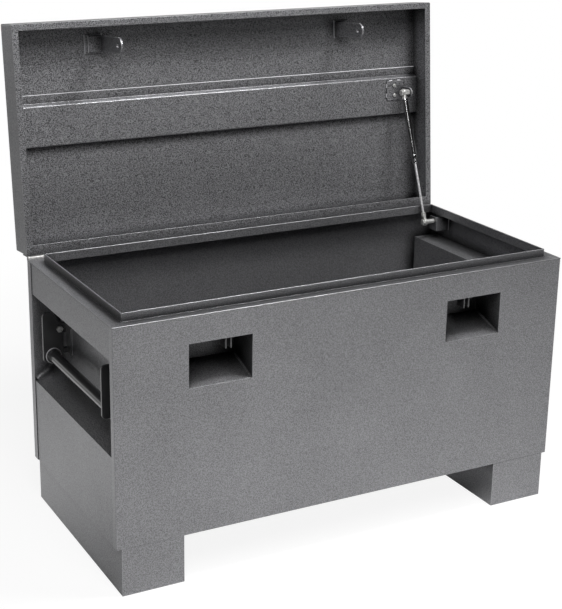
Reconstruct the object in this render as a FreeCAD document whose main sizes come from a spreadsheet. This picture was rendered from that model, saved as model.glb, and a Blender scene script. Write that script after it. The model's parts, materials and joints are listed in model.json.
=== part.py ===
import FreeCAD, Part
import os
import re

import Sketcher

# A steel jobsite storage box, modelled with its lid open.
# +X runs to the right along the front, +Y runs from the front to the rear, +Z is up.
# The origin is on the floor, under the middle of the whole box with its lid open.
# Lengths are in millimetres, angles in degrees.

SIZES = {
    # Casing
    "length": 1067.0,
    "depth": 496.0,
    "wall_height": 469.0,
    "sheet": 1.5,
    "bend_radius": 1.5,
    "front_return": 17.0,
    "rear_return": 23.0,
    # Rim: a ledge that the lid closes on, with a lip standing at its inner edge
    "side_ledge": 31.5,
    "front_ledge": 27.0,
    "rear_ledge": 36.0,
    "lip_height": 18.0,
    "lip_thickness": 3.0,
    # Skids
    "skid_height": 105.0,
    "skid_width": 137.0,
    "skid_inset": 11.0,
    "skid_wall": 2.0,
    # Handle pockets
    "pocket_sill": 194.0,
    "pocket_opening_height": 202.0,
    "pocket_headroom": 7.0,
    "pocket_depth": 66.0,
    "pocket_rise": 41.0,
    # Lock openings in the front, and the recesses behind them
    "lock_inset": 229.5,
    "lock_sill": 318.0,
    "lock_opening_width": 140.0,
    "lock_opening_height": 93.0,
    "recess_gap": 10.5,
    "recess_depth": 88.0,
    "recess_rise": 28.0,
    "slot_ease_along": 5.0,
    "slot_ease_across": 3.0,
    # Staples in the recesses
    "staple_offset": 10.5,
    "staple_width": 14.5,
    "staple_plate": 3.0,
    "staple_setback": 1.5,
    "staple_depth": 25.0,
    "staple_drop": 69.0,
    # Lid
    "lid_inset": 2.7,
    "lid_overhang": 3.5,
    "lid_height": 75.0,
    "lid_side_lip": 14.6,
    "lid_front_lip": 13.6,
    "lid_hinge_lip": 22.0,
    "lid_gap": 1.0,
    "lid_open_angle": 95.2,
    # Stiffener across the lid
    "stiffener_start": 227.5,
    "stiffener_face": 89.5,
    "stiffener_proud": 15.0,
    "stiffener_slope": 15.8,
    "stiffener_flange": 7.9,
    # Piano hinge
    "hinge_standoff": 5.0,
    "pin_diameter": 5.0,
    "pin_play": 0.05,
    "knuckle_diameter": 9.0,
    "knuckle_pairs": 10,
    "knuckle_gap": 0.5,
    "leaf_thickness": 2.0,
    "leaf_height": 30.0,
    # Hasps
    "hasp_setback": 54.5,
    "hasp_width": 34.0,
    "hasp_reach": 131.0,
    "hasp_thickness": 5.0,
    "hasp_leg": 29.5,
    "padlock_hole": 12.0,
    "padlock_hole_depth": 110.0,
    "backing_thickness": 3.0,
    "backing_border": 3.5,
    "backing_reach": 8.0,
    # Gas strut
    "strut_inset": 64.0,
    "foot_setback": 59.0,
    "foot_drop": 18.0,
    "head_reach": 283.0,
    "head_depth": 48.0,
    "tube_diameter": 15.0,
    "tube_wall": 1.2,
    "tube_length": 150.0,
    "rod_diameter": 6.0,
    "collar_diameter": 10.0,
    "collar_length": 12.0,
    "piston_length": 10.0,
    "sliding_play": 0.08,
    "eye_diameter": 18.0,
    "eye_thickness": 6.0,
    "eye_flat": 26.0,
    "head_fitting_length": 16.0,
    "foot_fitting_length": 24.0,
    "fitting_diameter": 11.0,
    "strut_bolt_diameter": 8.0,
    "strut_bolt_head": 13.0,
    "strut_bolt_head_height": 4.5,
    "pivot_play": 0.05,
    "face_gap": 0.3,
    # Strut brackets
    "bracket_plate": 3.0,
    "lid_bracket_start": 263.0,
    "lid_bracket_width": 47.0,
    "lid_bracket_height": 48.0,
    "lid_bracket_overhang": 18.0,
    "bracket_lug_radius": 12.0,
    "wall_bracket_standoff": 36.0,
    "wall_bracket_depth": 30.0,
    "wall_bracket_height": 34.0,
    "wall_bracket_rise": 11.0,
    "spacer_diameter": 12.0,
    "rivet_diameter": 5.0,
    "rivet_head": 9.0,
    "rivet_head_height": 2.5,
    "rivet_spacing": 24.0,
    "wall_rivet_spacing": 16.0,
    # Drop handles
    "arm_spacing": 345.0,
    "arm_thickness": 5.0,
    "arm_width": 46.0,
    "arm_setback": 4.0,
    "arm_foot": 14.0,
    "arm_corner": 10.0,
    "grip_rise": 73.0,
    "grip_diameter": 25.0,
    "grip_wall": 2.0,
    "grip_collar": 33.0,
    "grip_collar_length": 3.0,
    "pivot_rise": 60.0,
    "pivot_edge": 8.0,
    "horn_rise": 40.0,
    "horn_width": 22.0,
    "pivot_diameter": 8.0,
    "pivot_head": 13.0,
    "pivot_head_height": 5.0,
    "ear_thickness": 4.0,
    "ear_radius": 12.0,
    "ear_gap": 0.5,
    "ear_foot_height": 70.0,
    "ear_foot_width": 28.0,
    "stop_height": 12.0,
}

# Places that follow from the sizes, in the box's own directions.
# Y counts from the front face and Z from the floor.
DERIVED = {
    "half_length": "length / 2",
    "ledge_top": "skid_height + wall_height",
    "ledge_under": "ledge_top - sheet",
    "outer_bend": "bend_radius + sheet",
    "rear_inside": "depth - sheet",
    "side_inside": "half_length - 2 * sheet",
    "pocket_floor": "skid_height + pocket_sill",
    "pocket_opening_top": "pocket_floor + pocket_opening_height",
    "pocket_ceiling": "pocket_opening_top + pocket_headroom",
    "pocket_back": "half_length - pocket_depth",
    "pocket_front": "front_return",
    "pocket_rear": "depth - rear_return",
    "pocket_slope": "pocket_rise / (side_inside - pocket_back - sheet)",
    "pocket_floor_sheet": "sheet * sqrt(1 + pocket_slope * pocket_slope)",
    "lock_bottom": "skid_height + lock_sill",
    "lock_top": "lock_bottom + lock_opening_height",
    "lock_spread": "half_length - lock_inset",
    "recess_ceiling": "ledge_under - recess_gap",
    "recess_slope": "recess_rise / (recess_depth - 2 * sheet)",
    "recess_floor_sheet": "sheet * sqrt(1 + recess_slope * recess_slope)",
    # The hinge axis, and the lid in its closed place seen from that axis:
    # Z up from the axis, Y towards the rear
    "hinge_y": "depth + hinge_standoff",
    "lid_half": "half_length - lid_inset",
    "lid_rear": "-hinge_standoff",
    "lid_front": "lid_rear - depth - lid_overhang",
    "lid_top": "lid_gap + lid_height",
    "skin_inside": "lid_top - sheet",
    "stiffener_back": "lid_rear - stiffener_start",
    "stiffener_front": "stiffener_back - stiffener_face",
    "stiffener_bottom": "skin_inside - stiffener_proud",
    "hasp_y": "lid_front + hasp_setback",
    "hasp_root": "skin_inside - backing_thickness",
    "lid_tilt": "lid_open_angle - 90",
    "open_depth": "hinge_y + outer_bend - (lid_front + outer_bend) * sin(lid_tilt)"
                  " + (lid_top - outer_bend) * cos(lid_tilt)",
    "origin_y": "open_depth / 2",
    "knuckle_radius": "knuckle_diameter / 2",
    "knuckle_pitch": "2 * lid_half / (2 * knuckle_pairs + 1)",
    "leaf_start": "knuckle_radius + knuckle_gap",
    # The strut: its foot on the box, its head on the lid, seen from the hinge axis
    "strut_x": "half_length - strut_inset",
    "foot_y": "depth - foot_setback",
    "foot_z": "ledge_top - foot_drop",
    "head_y": "lid_rear - head_reach",
    "head_z": "lid_top - head_depth",
    "open_head_y": "hinge_y - head_y * sin(lid_tilt) + head_z * cos(lid_tilt)",
    "open_head_z": "ledge_top - head_y * cos(lid_tilt) - head_z * sin(lid_tilt)",
    "strut_length": "sqrt((open_head_y - foot_y)^2 + (open_head_z - foot_z)^2)",
    "strut_angle": "atan((open_head_y - foot_y) / (open_head_z - foot_z))",
    "tube_end": "strut_length - head_fitting_length",
    "tube_start": "tube_end - tube_length",
    "tube_bore": "tube_diameter - 2 * tube_wall",
    "eye_bore": "strut_bolt_diameter + 2 * pivot_play",
    "eye_left": "strut_x - eye_thickness / 2",
    "eye_right": "strut_x + eye_thickness / 2",
    "lug_right": "strut_x + lid_bracket_overhang",
    "lug_left": "lug_right - bracket_plate",
    "wall_lug_left": "half_length - 2 * sheet - wall_bracket_standoff",
    "wall_lug_right": "wall_lug_left + bracket_plate",
    "wall_bracket_front": "foot_y - wall_bracket_depth / 2",
    "wall_bracket_rear": "foot_y + wall_bracket_depth / 2",
    "wall_bracket_top": "foot_z + wall_bracket_rise",
    "wall_bracket_low": "wall_bracket_top - wall_bracket_height",
    # The left drop handle; X is negative on the left
    "arm_outer": "arm_setback - half_length",
    "arm_inner": "arm_outer + arm_width",
    "grip_x": "arm_outer + arm_width / 2",
    "grip_z": "pocket_floor + grip_rise",
    "arm_low": "grip_z - arm_foot",
    "pivot_x": "arm_inner - pivot_edge",
    "pivot_z": "grip_z + pivot_rise",
    "horn_top": "pivot_z + horn_rise",
    "horn_end": "arm_outer + horn_width",
    "front_arm_y": "depth / 2 - arm_spacing / 2",
    "arm_outside": "front_arm_y - arm_thickness / 2",
    "arm_inside": "front_arm_y + arm_thickness / 2",
    "ear_inside": "arm_outside - ear_gap",
    "ear_outside": "ear_inside - ear_thickness",
}

document = FreeCAD.newDocument("StorageBox")
sheet = document.addObject("Spreadsheet::Sheet", "Sizes")
nodes = []


def text(formula):
    """Write a formula in the names above as one of the document's expressions."""
    def expand(match):
        word = match.group(0)
        if word in SIZES:
            return f"Sizes.{word}"
        if word in DERIVED:
            return f"({text(DERIVED[word])})"
        return word
    return re.sub(r"[a-z_]+[a-z0-9_]*", expand, str(formula))


def number(formula):
    """The value that a formula has now."""
    result = sheet.evalExpression(text(formula))
    return float(getattr(result, "Value", result))


def bind(thing, target, formula):
    """Tie a property to a formula."""
    thing.setExpression(target, text(formula))


def fill_sheet():
    """Put every size into the spreadsheet under its own alias."""
    for row, (name, size) in enumerate(SIZES.items(), start=1):
        sheet.set(f"A{row}", name)
        sheet.set(f"B{row}", str(size))
        sheet.setAlias(f"B{row}", name)
    document.recompute()


# Where pieces stand


def stand(thing, x, y, z, turn="0"):
    """Place a piece at x, y, z, turned about X, with Y counted from the front face."""
    angle = number(turn)
    thing.Placement = FreeCAD.Placement(
        FreeCAD.Vector(0, 0, 0), FreeCAD.Rotation(FreeCAD.Vector(1, 0, 0), angle))
    bind(thing, "Placement.Base.x", x)
    bind(thing, "Placement.Base.y", f"{y} - origin_y")
    bind(thing, "Placement.Base.z", z)
    if angle:
        bind(thing, "Placement.Rotation.Angle", turn)


def stand_in_box(thing):
    """A piece of the casing, drawn from the middle of the front face on the floor."""
    stand(thing, "0", "0", "0")


def stand_on_hinge(thing):
    """A piece of the box, drawn from the hinge axis."""
    stand(thing, "0", "hinge_y", "ledge_top")


def stand_in_lid(thing):
    """A piece of the lid, drawn closed from the hinge axis and then turned open."""
    stand(thing, "0", "hinge_y", "ledge_top", "-lid_open_angle")


def stand_on_strut(thing):
    """A piece of the strut, drawn upright from its foot and then leaned back."""
    stand(thing, "strut_x", "foot_y", "foot_z", "-strut_angle")


# Drawing and building


def new_body(label, placing=stand_in_box):
    """An empty body, placed and listed as a node."""
    body = document.addObject("PartDesign::Body", label)
    body.Label = label
    placing(body)
    nodes.append(body)
    return body


def fix_point(sketch, geometry, vertex, x, y):
    """Hold a point of a sketch at bound distances from the sketch's origin."""
    for kind, formula in (("DistanceX", x), ("DistanceY", y)):
        index = sketch.addConstraint(
            Sketcher.Constraint(kind, -1, 1, geometry, vertex, number(formula)))
        bind(sketch, f"Constraints[{index}]", formula)


def polygon(*points):
    """An outline with straight sides through the given points."""
    def draw(sketch):
        corners = [FreeCAD.Vector(number(x), number(y), 0) for x, y in points]
        first = sketch.GeometryCount
        count = len(corners)
        for index in range(count):
            sketch.addGeometry(Part.LineSegment(corners[index], corners[(index + 1) % count]))
        for index in range(count):
            following = first + (index + 1) % count
            sketch.addConstraint(
                Sketcher.Constraint("Coincident", first + index, 2, following, 1))
        for index, (x, y) in enumerate(points):
            fix_point(sketch, first + index, 1, x, y)
    return draw


def rectangle(left, right, low, high):
    """An upright rectangle between two sides and two levels."""
    return polygon((left, low), (right, low), (right, high), (left, high))


def circle(x, y, diameter):
    """A circle of the given diameter round x, y."""
    def draw(sketch):
        centre = FreeCAD.Vector(number(x), number(y), 0)
        radius = number(diameter) / 2
        index = sketch.addGeometry(Part.Circle(centre, FreeCAD.Vector(0, 0, 1), radius))
        size = sketch.addConstraint(Sketcher.Constraint("Diameter", index, 2 * radius))
        bind(sketch, f"Constraints[{size}]", diameter)
        fix_point(sketch, index, 3, x, y)
    return draw


def hexagon(x, y, across):
    """A hexagon round x, y with two corners level with it."""
    reach = f"({across}) / sqrt(3)"
    return polygon(*[(f"{x} + {reach} * cos({60 * corner})",
                      f"{y} + {reach} * sin({60 * corner})") for corner in range(6)])


def new_sketch(body, plane, level, outlines):
    """A sketch on one of the body's own planes, level along that plane's axis."""
    sketch = body.newObject("Sketcher::SketchObject", f"{body.Label}_outline")
    origin_plane = next(item for item in body.Origin.OriginFeatures if item.Role == plane)
    sketch.AttachmentSupport = [(origin_plane, "")]
    sketch.MapMode = "FlatFace"
    # The normal of the XZ plane points to -Y
    direction = "-" if plane == "XZ_Plane" else ""
    bind(sketch, "AttachmentOffset.Base.z", f"{direction}({level})")
    for draw in outlines:
        draw(sketch)
    document.recompute()
    return sketch


def pad(body, plane, start, end, *outlines):
    """Add material between two levels along the plane's axis."""
    level = end if plane == "XZ_Plane" else start
    feature = body.newObject("PartDesign::Pad", f"{body.Label}_pad")
    feature.Profile = new_sketch(body, plane, level, outlines)
    bind(feature, "Length", f"({end}) - ({start})")
    document.recompute()
    return feature


def pocket(body, plane, start, end, *outlines):
    """Cut material away between two levels along the plane's axis."""
    before = body.Shape.Volume
    level = start if plane == "XZ_Plane" else end
    feature = body.newObject("PartDesign::Pocket", f"{body.Label}_pocket")
    feature.Profile = new_sketch(body, plane, level, outlines)
    bind(feature, "Length", f"({end}) - ({start})")
    document.recompute()
    if body.Shape.Volume >= before:
        raise ValueError(f"a pocket in {body.Label} cuts nothing")
    return feature


def revolve(body, plane, axis, *outlines):
    """Turn outlines round one of the sketch's axes."""
    feature = body.newObject("PartDesign::Revolution", f"{body.Label}_turned")
    sketch = new_sketch(body, plane, "0", outlines)
    feature.Profile = sketch
    feature.ReferenceAxis = (sketch, [axis])
    feature.Angle = 360
    document.recompute()
    return feature


def round_edges(body, radius, *lines):
    """Round the straight edges that lie on the given lines.

    A line is three formulas, one per axis, with None for the axis that it runs along.
    """
    wanted = []
    for line in lines:
        places = [None if place is None else number(place) for place in line]
        wanted.append(places)
    names = []
    base = body.Tip
    to_body = body.Placement.inverse()
    for index, edge in enumerate(body.Shape.Edges, start=1):
        ends = [to_body.multVec(vertex.Point) for vertex in edge.Vertexes]
        for places in wanted:
            on_line = len(ends) == 2 and all(
                place is None or abs(end[axis] - place) < 0.001
                for end in ends for axis, place in enumerate(places))
            if on_line:
                names.append(f"Edge{index}")
    if len(names) < len(lines):
        raise ValueError(f"an edge to round is missing on {body.Label}")
    feature = body.newObject("PartDesign::Fillet", f"{body.Label}_round")
    feature.Base = (base, names)
    bind(feature, "Radius", radius)
    document.recompute()
    return feature


def repeat_along_x(body, feature, spacing, count):
    """Repeat a feature along X."""
    pattern = body.newObject("PartDesign::LinearPattern", f"{body.Label}_row")
    pattern.Originals = [feature]
    x_axis = next(item for item in body.Origin.OriginFeatures if item.Role == "X_Axis")
    pattern.Direction = (x_axis, [""])
    bind(pattern, "Length", f"({spacing}) * (({count}) - 1)")
    bind(pattern, "Occurrences", count)
    body.Tip = pattern
    document.recompute()
    return pattern


def mirror(source, label, normal=(1, 0, 0), listed=True):
    """The same piece on the other side: left to right, or front to rear."""
    copy = document.addObject("Part::Mirroring", label)
    copy.Label = label
    copy.Source = source
    copy.Normal = FreeCAD.Vector(*normal)
    bind(copy, "Base.y", "depth / 2 - origin_y")
    if listed:
        nodes.append(copy)
    return copy


def group(label, pieces):
    """Several equal pieces as one node."""
    for piece in pieces:
        if piece in nodes:
            nodes.remove(piece)
    compound = document.addObject("Part::Compound", label)
    compound.Label = label
    compound.Links = pieces
    nodes.append(compound)
    return compound


# Casing


def corner_panel(label, face, inside, returned):
    """A panel folded round two corners of the box; face and inside are its Y places."""
    panel = new_body(label)
    pad(panel, "XY_Plane", "skid_height", "ledge_under", polygon(
        ("-half_length", face),
        ("half_length", face),
        ("half_length", returned),
        ("half_length - sheet", returned),
        ("half_length - sheet", inside),
        ("sheet - half_length", inside),
        ("sheet - half_length", returned),
        ("-half_length", returned)))
    round_edges(panel, "outer_bend",
                ("-half_length", face, None), ("half_length", face, None))
    round_edges(panel, "bend_radius",
                ("sheet - half_length", inside, None), ("half_length - sheet", inside, None))
    return panel


def front_panel():
    """The front, with an opening for each lock."""
    panel = corner_panel("front_panel", "0", "sheet", "front_return")
    for side in ("-lock_spread", "lock_spread"):
        pocket(panel, "XZ_Plane", "0", "sheet", rectangle(
            f"{side} - lock_opening_width / 2", f"{side} + lock_opening_width / 2",
            "lock_bottom", "lock_top"))


def rear_panel():
    """The rear, folded round the rear corners."""
    corner_panel("rear_panel", "depth", "rear_inside", "depth - rear_return")


def side_panels():
    """The ends, set in behind the folded strips and open at the handle pockets."""
    panel = new_body("left_side_panel")
    pad(panel, "YZ_Plane", "sheet - half_length", "2 * sheet - half_length", rectangle(
        "sheet + bend_radius", "rear_inside - bend_radius", "skid_height", "ledge_under"))
    pocket(panel, "YZ_Plane", "sheet - half_length", "2 * sheet - half_length", rectangle(
        "pocket_front", "pocket_rear", "pocket_floor", "pocket_opening_top"))
    mirror(panel, "right_side_panel")


def floor_panel():
    """The floor, a plate on the skids between the four walls."""
    plate = document.addObject("Part::Box", "floor_panel")
    plate.Label = "floor_panel"
    bind(plate, "Length", "2 * side_inside")
    bind(plate, "Width", "rear_inside - sheet")
    bind(plate, "Height", "sheet")
    stand(plate, "-side_inside", "sheet", "skid_height")
    nodes.append(plate)


def rim_piece(label, outer, inner, lip):
    """One mitred side of the rim; each argument holds the two ends of a line in plan."""
    rim = new_body(label)
    pad(rim, "XY_Plane", "ledge_under", "ledge_top",
        polygon(outer[0], outer[1], inner[1], inner[0]))
    pad(rim, "XY_Plane", "ledge_top", "ledge_top + lip_height",
        polygon(lip[0], lip[1], inner[1], inner[0]))


def rim():
    """The four rim pieces, joined at the corners."""
    corners = {
        "outer": ("half_length", "0", "depth"),
        "inner": ("half_length - side_ledge", "front_ledge", "depth - rear_ledge"),
        "lip": ("half_length - side_ledge + lip_thickness", "front_ledge - lip_thickness",
                "depth - rear_ledge + lip_thickness"),
    }
    edges = {"front_rim": [], "rear_rim": [], "left_rim": [], "right_rim": []}
    for x, front, rear in corners.values():
        left = f"-({x})"
        edges["front_rim"].append(((left, front), (x, front)))
        edges["rear_rim"].append(((left, rear), (x, rear)))
        edges["left_rim"].append(((left, front), (left, rear)))
        edges["right_rim"].append(((x, front), (x, rear)))
    for label, lines in edges.items():
        rim_piece(label, *lines)


def skids():
    """Two folded legs under the floor, closed at both ends and open only to the floor."""
    skid = new_body("left_skid")
    outer = "skid_inset - half_length"
    pad(skid, "XY_Plane", "0", "skid_height", rectangle(
        outer, f"{outer} + skid_width", "0", "depth"))
    pocket(skid, "XY_Plane", "skid_wall", "skid_height", rectangle(
        f"{outer} + skid_wall", f"{outer} + skid_width - skid_wall",
        "skid_wall", "depth - skid_wall"))
    mirror(skid, "right_skid")


def handle_pockets():
    """The housings behind the side openings, with a floor that rises inward."""
    housing = new_body("left_handle_pocket")
    opening = "-side_inside"
    back = "-pocket_back"
    pad(housing, "XZ_Plane", "pocket_front - sheet", "pocket_rear + sheet", polygon(
        (opening, "pocket_floor - pocket_floor_sheet"),
        (back, "pocket_floor + pocket_rise + pocket_slope * sheet - pocket_floor_sheet"),
        (back, "pocket_ceiling + sheet"),
        (opening, "pocket_ceiling + sheet")))
    pocket(housing, "XZ_Plane", "pocket_front", "pocket_rear", polygon(
        (opening, "pocket_floor"),
        (f"{back} - sheet", "pocket_floor + pocket_rise"),
        (f"{back} - sheet", "pocket_ceiling"),
        (opening, "pocket_ceiling")))
    mirror(housing, "right_handle_pocket")


def lock_recesses():
    """The housings behind the lock openings, each with a slot on top for its hasp."""
    housing = new_body("left_lock_recess")
    left = "-lock_spread - lock_opening_width / 2"
    right = "-lock_spread + lock_opening_width / 2"
    back = "recess_depth - sheet"
    pad(housing, "YZ_Plane", f"{left} - sheet", f"{right} + sheet", polygon(
        ("sheet", "lock_bottom - recess_floor_sheet"),
        ("recess_depth",
         "lock_bottom + recess_rise + recess_slope * sheet - recess_floor_sheet"),
        ("recess_depth", "recess_ceiling + sheet"),
        ("sheet", "recess_ceiling + sheet")))
    pocket(housing, "YZ_Plane", left, right, polygon(
        ("sheet", "lock_bottom"),
        (back, "lock_bottom + recess_rise"),
        (back, "recess_ceiling"),
        ("sheet", "recess_ceiling")))
    middle = "hinge_y + hasp_y"
    pocket(housing, "XY_Plane", "recess_ceiling", "recess_ceiling + sheet", rectangle(
        "-lock_spread - hasp_thickness / 2 - slot_ease_across",
        "-lock_spread + hasp_thickness / 2 + slot_ease_across",
        f"{middle} - hasp_width / 2 - slot_ease_along",
        f"{middle} + hasp_width / 2 + slot_ease_along"))
    mirror(housing, "right_lock_recess")


def lock_staples():
    """A channel hanging from each recess's top, beside the hasp."""
    staple = new_body("left_lock_staple")
    left = "staple_offset - lock_spread"
    front = "sheet + staple_setback"
    pad(staple, "XY_Plane", "recess_ceiling - staple_drop", "recess_ceiling", rectangle(
        left, f"{left} + staple_width", front, f"{front} + staple_depth"))
    pocket(staple, "XY_Plane", "recess_ceiling - staple_drop", "recess_ceiling - staple_plate",
           rectangle(f"{left} + staple_plate", f"{left} + staple_width - staple_plate",
                     front, f"{front} + staple_depth"))
    mirror(staple, "right_lock_staple")


# Lid


def lid_shell():
    """The lid: a skin with four walls, whose edges turn in along the rim."""
    shell = new_body("lid_shell", stand_in_lid)
    pad(shell, "XY_Plane", "lid_gap", "lid_top", rectangle(
        "-lid_half", "lid_half", "lid_front", "lid_rear"))
    pocket(shell, "XY_Plane", "lid_gap + sheet", "skin_inside", rectangle(
        "sheet - lid_half", "lid_half - sheet", "lid_front + sheet", "lid_rear - sheet"))
    pocket(shell, "XY_Plane", "lid_gap", "lid_gap + sheet", rectangle(
        "lid_side_lip - lid_half", "lid_half - lid_side_lip",
        "lid_front + lid_front_lip", "lid_rear - lid_hinge_lip"))
    round_edges(shell, "outer_bend",
                (None, "lid_front", "lid_top"), (None, "lid_rear", "lid_top"),
                ("-lid_half", None, "lid_top"), ("lid_half", None, "lid_top"),
                ("-lid_half", "lid_front", None), ("lid_half", "lid_front", None),
                ("-lid_half", "lid_rear", None), ("lid_half", "lid_rear", None))


def lid_stiffener():
    """A folded channel across the lid, with one sloping side and a flange."""
    channel = new_body("lid_stiffener", stand_in_lid)
    slope_end = "stiffener_front - stiffener_slope"
    flange_end = f"{slope_end} - stiffener_flange"
    pad(channel, "YZ_Plane", "sheet - lid_half", "lid_half - sheet", polygon(
        ("stiffener_back", "skin_inside"),
        ("stiffener_back", "stiffener_bottom"),
        ("stiffener_front", "stiffener_bottom"),
        (slope_end, "skin_inside - sheet"),
        (flange_end, "skin_inside - sheet"),
        (flange_end, "skin_inside"),
        (f"{slope_end} + sheet", "skin_inside"),
        ("stiffener_front + sheet", "stiffener_bottom + sheet"),
        ("stiffener_back - sheet", "stiffener_bottom + sheet"),
        ("stiffener_back - sheet", "skin_inside")))


def hasps():
    """Two angle irons on backing plates; each tab has a hole for a padlock."""
    tab_left = "-lock_spread - hasp_thickness / 2"
    tab_right = "-lock_spread + hasp_thickness / 2"
    front = "hasp_y - hasp_width / 2"
    rear = "hasp_y + hasp_width / 2"
    end_centre = "lid_top - hasp_reach + hasp_width / 2"

    hasp = new_body("left_hasp", stand_in_lid)
    pad(hasp, "YZ_Plane", tab_left, tab_right, rectangle(front, rear, end_centre, "hasp_root"))
    pad(hasp, "YZ_Plane", tab_left, tab_right, circle("hasp_y", end_centre, "hasp_width"))
    pad(hasp, "XY_Plane", "hasp_root - hasp_thickness", "hasp_root", rectangle(
        "-lock_spread - hasp_leg", tab_left, front, rear))
    pocket(hasp, "YZ_Plane", tab_left, tab_right, circle(
        "hasp_y", "lid_top - padlock_hole_depth", "padlock_hole"))
    mirror(hasp, "right_hasp")

    plate = new_body("left_hasp_plate", stand_in_lid)
    pad(plate, "XY_Plane", "hasp_root", "skin_inside", rectangle(
        "-lock_spread - hasp_leg - backing_reach", tab_right,
        f"{front} - backing_border", f"{rear} + backing_border"))
    mirror(plate, "right_hasp_plate")


# Piano hinge


def hinge_leaf(label, placing, way, first, count):
    """One leaf: a strip and a row of knuckles; way is the strip's direction in Z."""
    leaf = new_body(label, placing)
    strip_levels = [f"{way} * leaf_start", f"{way} * leaf_height"]
    web_levels = ["0", f"{way} * leaf_start"]
    face = "leaf_thickness - hinge_standoff"
    pad(leaf, "YZ_Plane", "-lid_half", "lid_half", rectangle(
        "-hinge_standoff", face, *sorted(strip_levels, key=number)))
    start = f"-lid_half + {first} * knuckle_pitch + knuckle_gap / 2"
    end = f"-lid_half + ({first} + 1) * knuckle_pitch - knuckle_gap / 2"
    web = pad(leaf, "YZ_Plane", start, end, rectangle(
        "-hinge_standoff", face, *sorted(web_levels, key=number)))
    repeat_along_x(leaf, web, "2 * knuckle_pitch", count)
    barrel = pad(leaf, "YZ_Plane", start, end, circle("0", "0", "knuckle_diameter"))
    repeat_along_x(leaf, barrel, "2 * knuckle_pitch", count)
    pocket(leaf, "YZ_Plane", "-lid_half", "lid_half", circle(
        "0", "0", "pin_diameter + 2 * pin_play"))


def piano_hinge():
    """The two leaves and the pin through all their knuckles."""
    hinge_leaf("hinge_box_leaf", stand_on_hinge, "-1", "0", "knuckle_pairs + 1")
    hinge_leaf("hinge_lid_leaf", stand_in_lid, "1", "1", "knuckle_pairs")
    pin = new_body("hinge_pin", stand_on_hinge)
    pad(pin, "YZ_Plane", "-lid_half", "lid_half", circle("0", "0", "pin_diameter"))


# Gas strut


def strut_tube():
    """The pressure tube, with the collar that guides the rod at its lower end."""
    tube = new_body("strut_tube", stand_on_strut)
    bore = "tube_bore / 2"
    outside = "tube_diameter / 2"
    collar = "collar_diameter / 2"
    guide = "rod_diameter / 2 + sliding_play"
    revolve(tube, "XZ_Plane", "V_Axis", polygon(
        (guide, "tube_start - collar_length"),
        (collar, "tube_start - collar_length"),
        (collar, "tube_start"),
        (outside, "tube_start"),
        (outside, "tube_end"),
        (bore, "tube_end"),
        (bore, "tube_start + tube_wall"),
        (guide, "tube_start + tube_wall")))


def strut_rod():
    """The rod, from the foot fitting to the piston."""
    rod = new_body("strut_rod", stand_on_strut)
    pad(rod, "XY_Plane", "foot_fitting_length", "tube_start + tube_wall + face_gap",
        circle("0", "0", "rod_diameter"))


def strut_piston():
    """The piston on the rod's upper end, just above the collar when the lid is open."""
    piston = new_body("strut_piston", stand_on_strut)
    low = "tube_start + tube_wall + face_gap"
    pad(piston, "XY_Plane", low, f"{low} + piston_length",
        circle("0", "0", "tube_bore - 2 * sliding_play"))


def strut_eye(label, centre, joint):
    """A round shank that meets the strut and ends in a flat eye."""
    low, high = sorted((centre, joint), key=number)
    left, right = "-eye_thickness / 2", "eye_thickness / 2"
    fitting = new_body(label, stand_on_strut)
    pad(fitting, "YZ_Plane", left, right, circle("0", centre, "eye_diameter"))
    pad(fitting, "XY_Plane", low, high, circle("0", "0", "fitting_diameter"))
    pocket(fitting, "YZ_Plane", "-fitting_diameter", left, circle("0", centre, "eye_flat"))
    pocket(fitting, "YZ_Plane", right, "fitting_diameter", circle("0", centre, "eye_flat"))
    pocket(fitting, "YZ_Plane", left, right, circle("0", centre, "eye_bore"))


def strut_head_bolt():
    """The bolt through the head eye; its head is on the side away from the bracket."""
    bolt = new_body("strut_head_bolt", stand_on_strut)
    pad(bolt, "YZ_Plane", "-eye_thickness / 2", "eye_thickness / 2",
        circle("0", "strut_length", "strut_bolt_diameter"))
    pad(bolt, "YZ_Plane", "-eye_thickness / 2 - strut_bolt_head_height", "-eye_thickness / 2",
        hexagon("0", "strut_length", "strut_bolt_head"))


def lid_bracket():
    """The angle on the stiffener that carries the strut's head."""
    bracket = new_body("strut_lid_bracket", stand_in_lid)
    rear = "lid_rear - lid_bracket_start"
    front = f"{rear} - lid_bracket_height"
    face = "stiffener_bottom - bracket_plate"
    pad(bracket, "XY_Plane", face, "stiffener_bottom", rectangle(
        "lug_right - lid_bracket_width", "lug_right", front, rear))
    pad(bracket, "YZ_Plane", "lug_left", "lug_right", rectangle(
        "head_y - bracket_lug_radius", "head_y + bracket_lug_radius", "head_z", face))
    pad(bracket, "YZ_Plane", "lug_left", "lug_right", circle(
        "head_y", "head_z", "2 * bracket_lug_radius"))
    pocket(bracket, "YZ_Plane", "lug_left", "lug_right", circle(
        "head_y", "head_z", "strut_bolt_diameter"))
    rivet_x = "lug_left - lid_bracket_width / 2"
    rivets = []
    for side in ("-rivet_spacing / 2", "rivet_spacing / 2"):
        rivet_y = f"{rear} - lid_bracket_height / 2 + {side}"
        pocket(bracket, "XY_Plane", face, "stiffener_bottom", circle(
            rivet_x, rivet_y, "rivet_diameter"))
        rivet = new_body("lid_bracket_rivet", stand_in_lid)
        pad(rivet, "XY_Plane", face, "stiffener_bottom", circle(
            rivet_x, rivet_y, "rivet_diameter"))
        pad(rivet, "XY_Plane", f"{face} - rivet_head_height", face, circle(
            rivet_x, rivet_y, "rivet_head"))
        rivets.append(rivet)
    group("lid_bracket_rivets", rivets)


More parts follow.
